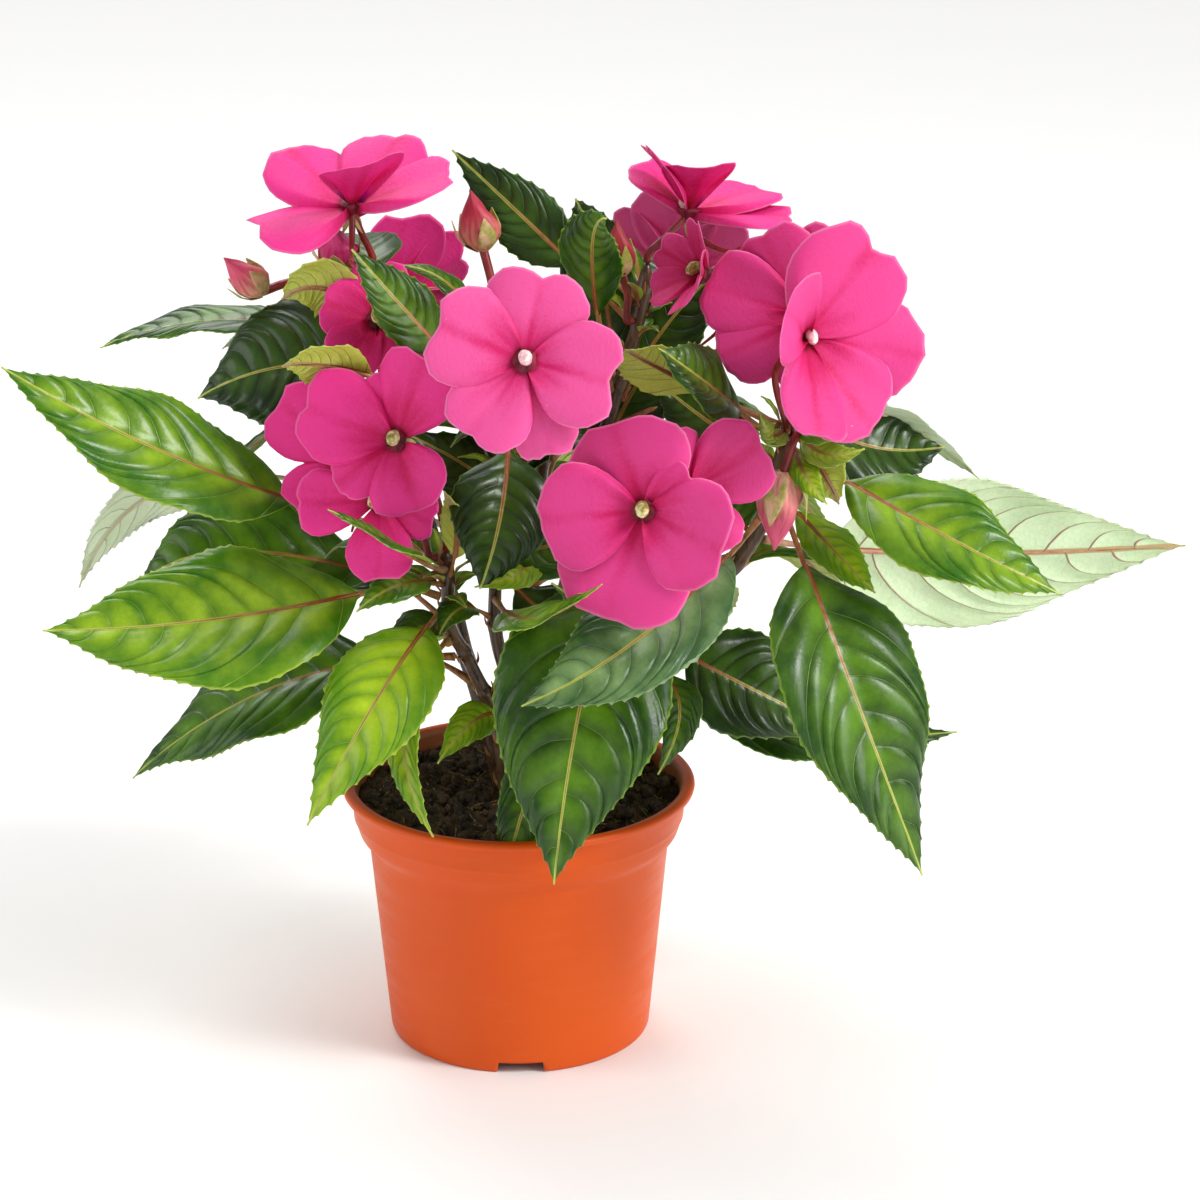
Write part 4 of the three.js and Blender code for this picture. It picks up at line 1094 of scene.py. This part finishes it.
def add_flowers():
    for number, (name, stem, share, bends, middle, facing, radius, cup, petals) in enumerate(FLOWERS):
        basis = facing_basis(facing)
        right, top, forward = basis
        shift_right, shift_up = THROAT_SHIFTS.get(name, (0, 0))
        centre = np.array(middle, float) + shift_right * right + shift_up * top
        shape = Shape()
        for k, petal in enumerate(PETAL_SETS[petals]):
            add_petal(shape, basis, centre, radius, cup, petal, 5 * number + k)
        stalk = stalk_path(stem, share, bends, centre - 0.7 * forward)
        add_tube(shape, stalk, np.linspace(*PEDICEL_RADII, len(stalk)), 12, ON_STALK)
        add_flower_middle(shape, centre, basis, number)
        for turn in (-1, 1):
            out = unit(turn * right - 0.5 * top)
            add_sepal(shape, centre - 3 * forward, out, -forward, SEPAL_LENGTH, SEPAL_WIDTH, ON_SEPAL,
                      SEPAL_CLEARANCES)
        tone = PETALS[tone_of(name, FLOWER_TONES, "light")]
        column_look = COLUMN_WHITE if name in WHITE_COLUMNS else COLUMN_GREEN
        piece = shape.build(f"flower_{name}_petals", [tone, PEDICEL, column_look, THROAT, SEPAL])
        finish_piece(piece, "petal", f"flower_{name}")


# Buds
ON_BUD, ON_BUD_STALK, ON_BUD_SEPAL = range(3)

# Radius of a bud at shares of its length, how far its sepals stand off its axis on their way, both
# as shares of its widest radius, and the directions of the sepals
BUD_PROFILE = ([0, 0.05, 0.2, 0.36, 0.55, 0.75, 0.9, 1], [0.25, 0.6, 0.94, 1, 0.82, 0.48, 0.2, 0.04])
SEPAL_HUG = np.array([0.25, 0.85, 1.12, 1.15, 1.2])
SEPAL_ANGLES = [-80, 20, 140, 220]
BUD_STALK_RADII = (1.2, 1.7)


def add_buds():
    for name, stem, share, bends, middle, axis, length, radius in BUDS:
        axis = unit(axis)
        centre = np.array(middle, float)
        foot = centre - 0.42 * length * axis
        shape = Shape()
        body = np.linspace(0, 1, 26)[:, None] * length * 0.92 * axis + foot
        radii = radius * np.interp(np.linspace(0, 1, 26), *BUD_PROFILE)
        add_tube(shape, body, radii, 32, ON_BUD, 0.12, 3, 2.6)
        stalk = stalk_path(stem, share, bends, foot + axis)
        add_tube(shape, stalk, np.linspace(*BUD_STALK_RADII, len(stalk)), 12, ON_BUD_STALK)
        right, top, _ = facing_basis(axis if abs(axis[2]) < 0.99 else axis + [0.05, 0, 0])
        for angle in SEPAL_ANGLES:
            out = swing(math.radians(angle), right, top)
            hug = radius * SEPAL_HUG + 0.2
            add_sepal(shape, foot, out, axis, length * 0.55, radius * 0.95, ON_BUD_SEPAL, hug)
        piece = shape.build(f"bud_{name}_petals", [BUD_LOOKS.get(name, BUD_PINK), PEDICEL, SEPAL])
        finish_piece(piece, "bud", f"bud_{name}")


# Pot
def turned_grid(profile, segments):
    """Points round the axis for each radius and height of a profile"""
    angle = np.linspace(0, 2 * math.pi, segments, endpoint=False)
    radius = np.array([r for r, _ in profile])[:, None]
    height = np.array([z for _, z in profile])[:, None] + 0 * angle
    return np.stack([radius * np.cos(angle), radius * np.sin(angle), height], -1)


def add_turned(shape, grid, slots):
    """A closed surface of revolution, with a small face round the axis at each end"""
    rings, segments = grid.shape[:2]
    face_slots = [slot for slot in slots for _ in range(segments)] + [slots[0], slots[-1]]
    shape.add(grid.reshape(-1, 3), ring_faces(rings, segments), face_slots)


def wall_radius(height):
    """Outer radius of the wall below the shoulder"""
    return FOOT_RADIUS + (SHOULDER_RADIUS - FOOT_RADIUS) * height / SHOULDER_BOTTOM


def inner_profile():
    """Radius and height along the inside of the pot, from the rim down to the middle of its floor"""
    return [
        (BAND_RADIUS - WALL, LIP_BOTTOM),
        (BAND_RADIUS - WALL - 0.4, BAND_BOTTOM),
        (SHOULDER_RADIUS - WALL, SHOULDER_BOTTOM),
        (wall_radius(FLOOR_HEIGHT) - WALL, FLOOR_HEIGHT + WALL),
        (PAD_RADIUS + 2, FLOOR_HEIGHT + WALL),
        (PAD_RADIUS - 2, WALL),
        (0.5, WALL),
    ]


def cut(piece, cutters):
    """Take the cutters out of a piece"""
    for cutter in cutters:
        modifier = piece.modifiers.new("cut", "BOOLEAN")
        modifier.object = cutter
        modifier.operation = "DIFFERENCE"
        modifier.solver = "EXACT"
    graph = bpy.context.evaluated_depsgraph_get()
    mesh = bpy.data.meshes.new_from_object(piece.evaluated_get(graph))
    piece.modifiers.clear()
    piece.data = mesh
    for cutter in cutters:
        bpy.data.objects.remove(cutter)


def notch_cutter(angle):
    """A block, narrower at the top, that takes a notch out of the foot"""
    wide, narrow = NOTCH_HALF_WIDTH, NOTCH_HALF_WIDTH - 1
    bottom, top = -1, FLOOR_HEIGHT - 0.2
    corners = [(-wide, bottom), (wide, bottom), (narrow, top), (-narrow, top)]
    points = [(x, y, z) for y in (-52, -44) for x, z in corners]
    turn = math.radians(angle + 90)
    cosine, sine = math.cos(turn), math.sin(turn)
    spin = np.array([[cosine, sine, 0], [-sine, cosine, 0], [0, 0, 1]])
    faces = [[0, 1, 2, 3], [7, 6, 5, 4], [0, 4, 5, 1], [1, 5, 6, 2], [2, 6, 7, 3], [3, 7, 4, 0]]
    cutter = Shape()
    cutter.add(np.array(points, float) @ spin, faces, [0] * len(faces))
    return cutter.build(f"notch_{angle}", [POT_SKIN])


def drain_cutter(angle):
    """A rod that goes through the raised floor"""
    turn = math.radians(angle)
    x, y = DRAIN_CIRCLE * math.cos(turn), DRAIN_CIRCLE * math.sin(turn)
    cutter = Shape()
    add_tube(cutter, [(x, y, 2), (x, y, 5), (x, y, 8)], [DRAIN_RADIUS] * 3, 24, 0)
    return cutter.build(f"drain_{angle:.0f}", [POT_SKIN])


def add_pot():
    outer = [
        (0.5, 0), (PAD_RADIUS, 0), (PAD_RADIUS + 0.6, 0.5), (PAD_RADIUS + 3, FLOOR_HEIGHT),
        (FOOT_RADIUS - 2.6, FLOOR_HEIGHT), (FOOT_RADIUS - 2.6, 0.2), (FOOT_RADIUS - 2.3, 0),
        (FOOT_RADIUS - 0.9, 0), (FOOT_RADIUS - 0.3, 0.3), (FOOT_RADIUS + 0.1, 1.2),
        (wall_radius(5), 5), (wall_radius(6), 6),
        (wall_radius(30), 30), (wall_radius(55), 55), (SHOULDER_RADIUS - 0.05, SHOULDER_BOTTOM - 1),
        (SHOULDER_RADIUS + 0.3, SHOULDER_BOTTOM + 0.3), (BAND_RADIUS - 2.6, SHOULDER_BOTTOM + 3.2),
        (BAND_RADIUS - 2.0, SHOULDER_BOTTOM + 4.2), (BAND_RADIUS - 0.8, BAND_BOTTOM - 1.4),
        (BAND_RADIUS - 0.5, BAND_BOTTOM - 0.3), (BAND_RADIUS - 0.1, BAND_BOTTOM + 0.2),
        (BAND_RADIUS, BAND_BOTTOM + 0.9), (BAND_RADIUS, LIP_BOTTOM - 0.6),
        (BAND_RADIUS + 0.5, LIP_BOTTOM), (RIM_RADIUS - 0.8, LIP_BOTTOM),
        (RIM_RADIUS - 0.2, LIP_BOTTOM + 0.4), (RIM_RADIUS, LIP_BOTTOM + 1.2),
        (RIM_RADIUS - 0.1, POT_HEIGHT - 1.1), (RIM_RADIUS - 0.6, POT_HEIGHT - 0.35),
        (RIM_RADIUS - 1.6, POT_HEIGHT), (BAND_RADIUS + 0.8, POT_HEIGHT),
        (BAND_RADIUS - 0.4, POT_HEIGHT - 0.6),
    ]
    profile = [*outer, *inner_profile()]
    slots = [0] * (len(outer) - 1) + [1] * len(inner_profile())
    shape = Shape()
    add_turned(shape, turned_grid(profile, 144), slots)
    pot = shape.build("pot_shell", [POT_SKIN, POT_INSIDE])
    cutters = [notch_cutter(angle) for angle in NOTCH_ANGLES]
    cutters += [drain_cutter(360 * k / DRAIN_HOLES) for k in range(DRAIN_HOLES)]
    cut(pot, cutters)
    finish_piece(pot, "pot", "pot")


# Soil
def soil_height(x, y):
    """Height of the crumbly surface"""
    off = math.hypot(x, y) / (BAND_RADIUS - WALL)
    base = SOIL_MIDDLE_HEIGHT + (SOIL_EDGE_HEIGHT - SOIL_MIDDLE_HEIGHT) * off**2
    lumps = noise.noise(Vector((x, y, 0)) * 0.11) * 2.4
    crumbs = noise.turbulence(Vector((x, y, 3.1)) * 0.42, 3, False) * 2.2
    return base + lumps + crumbs - 2.2


def soil_spot(reach):
    turn = rng.uniform(0, 2 * math.pi)
    off = reach * math.sqrt(rng.uniform(0, 1))
    return off * math.cos(turn), off * math.sin(turn)


def add_lump(shape, reach):
    """A crumb of peat, on a random spot"""
    x, y = soil_spot(reach)
    size = rng.uniform(0.7, 2.9)
    lump = np.array([x, y, soil_height(x, y) + 0.2 * size])
    heading = unit(rng.normal(size=3))
    path = [lump + heading * size * t for t in (-0.9, -0.5, 0, 0.5, 0.9)]
    radii = size * np.array([0.35, 0.8, 1, 0.75, 0.3]) * rng.uniform(0.6, 1.1, 5)
    add_tube(shape, path, radii, 6, 0, 0.12, 2)


def add_fibre(shape, reach):
    """A fibre of peat that lies on the surface, on a random spot"""
    x, y = soil_spot(reach)
    turn = rng.uniform(0, 2 * math.pi)
    half_length = rng.uniform(1, 4)
    points = []
    for t in (-1, 0, 1):
        px = x + half_length * t * math.cos(turn + 0.12 * t)
        py = y + half_length * t * math.sin(turn + 0.12 * t)
        points.append((px, py, soil_height(px, py) + rng.uniform(0, 0.5)))
    add_tube(shape, spline(points, 6), [rng.uniform(0.12, 0.3)] * 7, 5, 1)


def add_soil():
    shape = Shape()
    edge = BAND_RADIUS - WALL - SEAT_GAP - 0.2
    inner = [(r - SEAT_GAP, z + (SEAT_GAP if z < 20 else 0)) for r, z in inner_profile()[1:-1]]
    surface = [(edge * (k / SOIL_RINGS) ** 0.8, 0) for k in range(1, SOIL_RINGS + 1)]
    profile = [(0.2, 0), *surface, *inner, (0.2, WALL + SEAT_GAP)]
    grid = turned_grid(profile, SOIL_SEGMENTS)
    for ring in range(SOIL_RINGS + 1):
        for k in range(SOIL_SEGMENTS):
            x, y, _ = grid[ring, k]
            grid[ring, k, 2] = soil_height(x, y)
    grid[0, :, 2] = grid[0, :, 2].mean()
    add_turned(shape, grid[::-1], [0] * (len(profile) - 1))
    for _ in range(SOIL_LUMPS):
        add_lump(shape, edge - 2)
    for _ in range(SOIL_FIBRES):
        add_fibre(shape, edge - 5)
    finish_piece(shape.build("soil_crumb", [SOIL, FIBRE]), "soil", "soil")


# Camera, floor and light, in metres
PLANT_MIDDLE = (0.02, 0, 0.17)
CAMERA_PLACE = (0, -1.302, 0.610)
CAMERA_PITCH = math.radians(18.83)
CAMERA_YAW = math.radians(1.32)
CAMERA_LENS = 113.7
FLOOR_REACH = 8.0
FLOOR_COLOUR = (0.93, 0.925, 0.915, 1)
ROOM_LIGHT = 0.42


def look(obj, target):
    direction = Vector(target) - obj.location
    obj.rotation_mode = "QUATERNION"
    obj.rotation_quaternion = direction.to_track_quat("-Z", "Y")


def add_camera():
    camera = bpy.data.objects.new("camera", bpy.data.cameras.new("camera"))
    bpy.context.scene.collection.objects.link(camera)
    camera.location = CAMERA_PLACE
    camera.data.sensor_width = 36
    camera.data.lens = CAMERA_LENS
    camera.data.clip_start = 0.05
    level = math.cos(CAMERA_PITCH)
    heading = Vector((math.sin(CAMERA_YAW) * level, math.cos(CAMERA_YAW) * level,
                      -math.sin(CAMERA_PITCH)))
    look(camera, camera.location + heading)
    bpy.context.scene.camera = camera


def add_light(kind, name, location, power, **settings):
    light = bpy.data.lights.new(name, kind)
    light.energy = power
    for key, value in settings.items():
        setattr(light, key, value)
    lamp = bpy.data.objects.new(name, light)
    bpy.context.scene.collection.objects.link(lamp)
    lamp.location = location
    look(lamp, PLANT_MIDDLE)


def add_floor():
    mesh = bpy.data.meshes.new("floor")
    signs = [(-1, -1), (1, -1), (1, 1), (-1, 1)]
    mesh.from_pydata([(x * FLOOR_REACH, y * FLOOR_REACH, 0) for x, y in signs], [], [[0, 1, 2, 3]])
    floor = bpy.data.objects.new("floor", mesh)
    bpy.context.scene.collection.objects.link(floor)
    nodes = Nodes("floor")
    nodes.shader.inputs["Base Color"].default_value = FLOOR_COLOUR
    nodes.shader.inputs["Roughness"].default_value = 0.7
    mesh.materials.append(nodes.material)


def add_stage():
    scene = bpy.context.scene
    scene.view_settings.view_transform = "Standard"
    world = bpy.data.worlds.new("studio")
    world.use_nodes = True
    background = world.node_tree.nodes["Background"]
    background.inputs["Color"].default_value = (1, 1, 1, 1)
    background.inputs["Strength"].default_value = ROOM_LIGHT
    scene.world = world
    add_light("SUN", "key", (1.0, -0.45, 1.15), 1.78, angle=0.3)
    add_light("SUN", "back", (-0.3, 1.0, 1.0), 0.7, angle=0.5)
    add_light("AREA", "right_box", (1.3, -0.7, 0.7), 9, size=0.8)
    add_light("AREA", "left_box", (-1.4, -0.5, 0.6), 6, size=0.9)
    add_light("AREA", "top_box", (-0.2, 0.6, 1.5), 9, size=0.9)
    add_floor()


add_camera()
add_stage()
add_pot()
add_soil()
add_stems()
add_leaves()
add_shoots()
add_flowers()
add_buds()
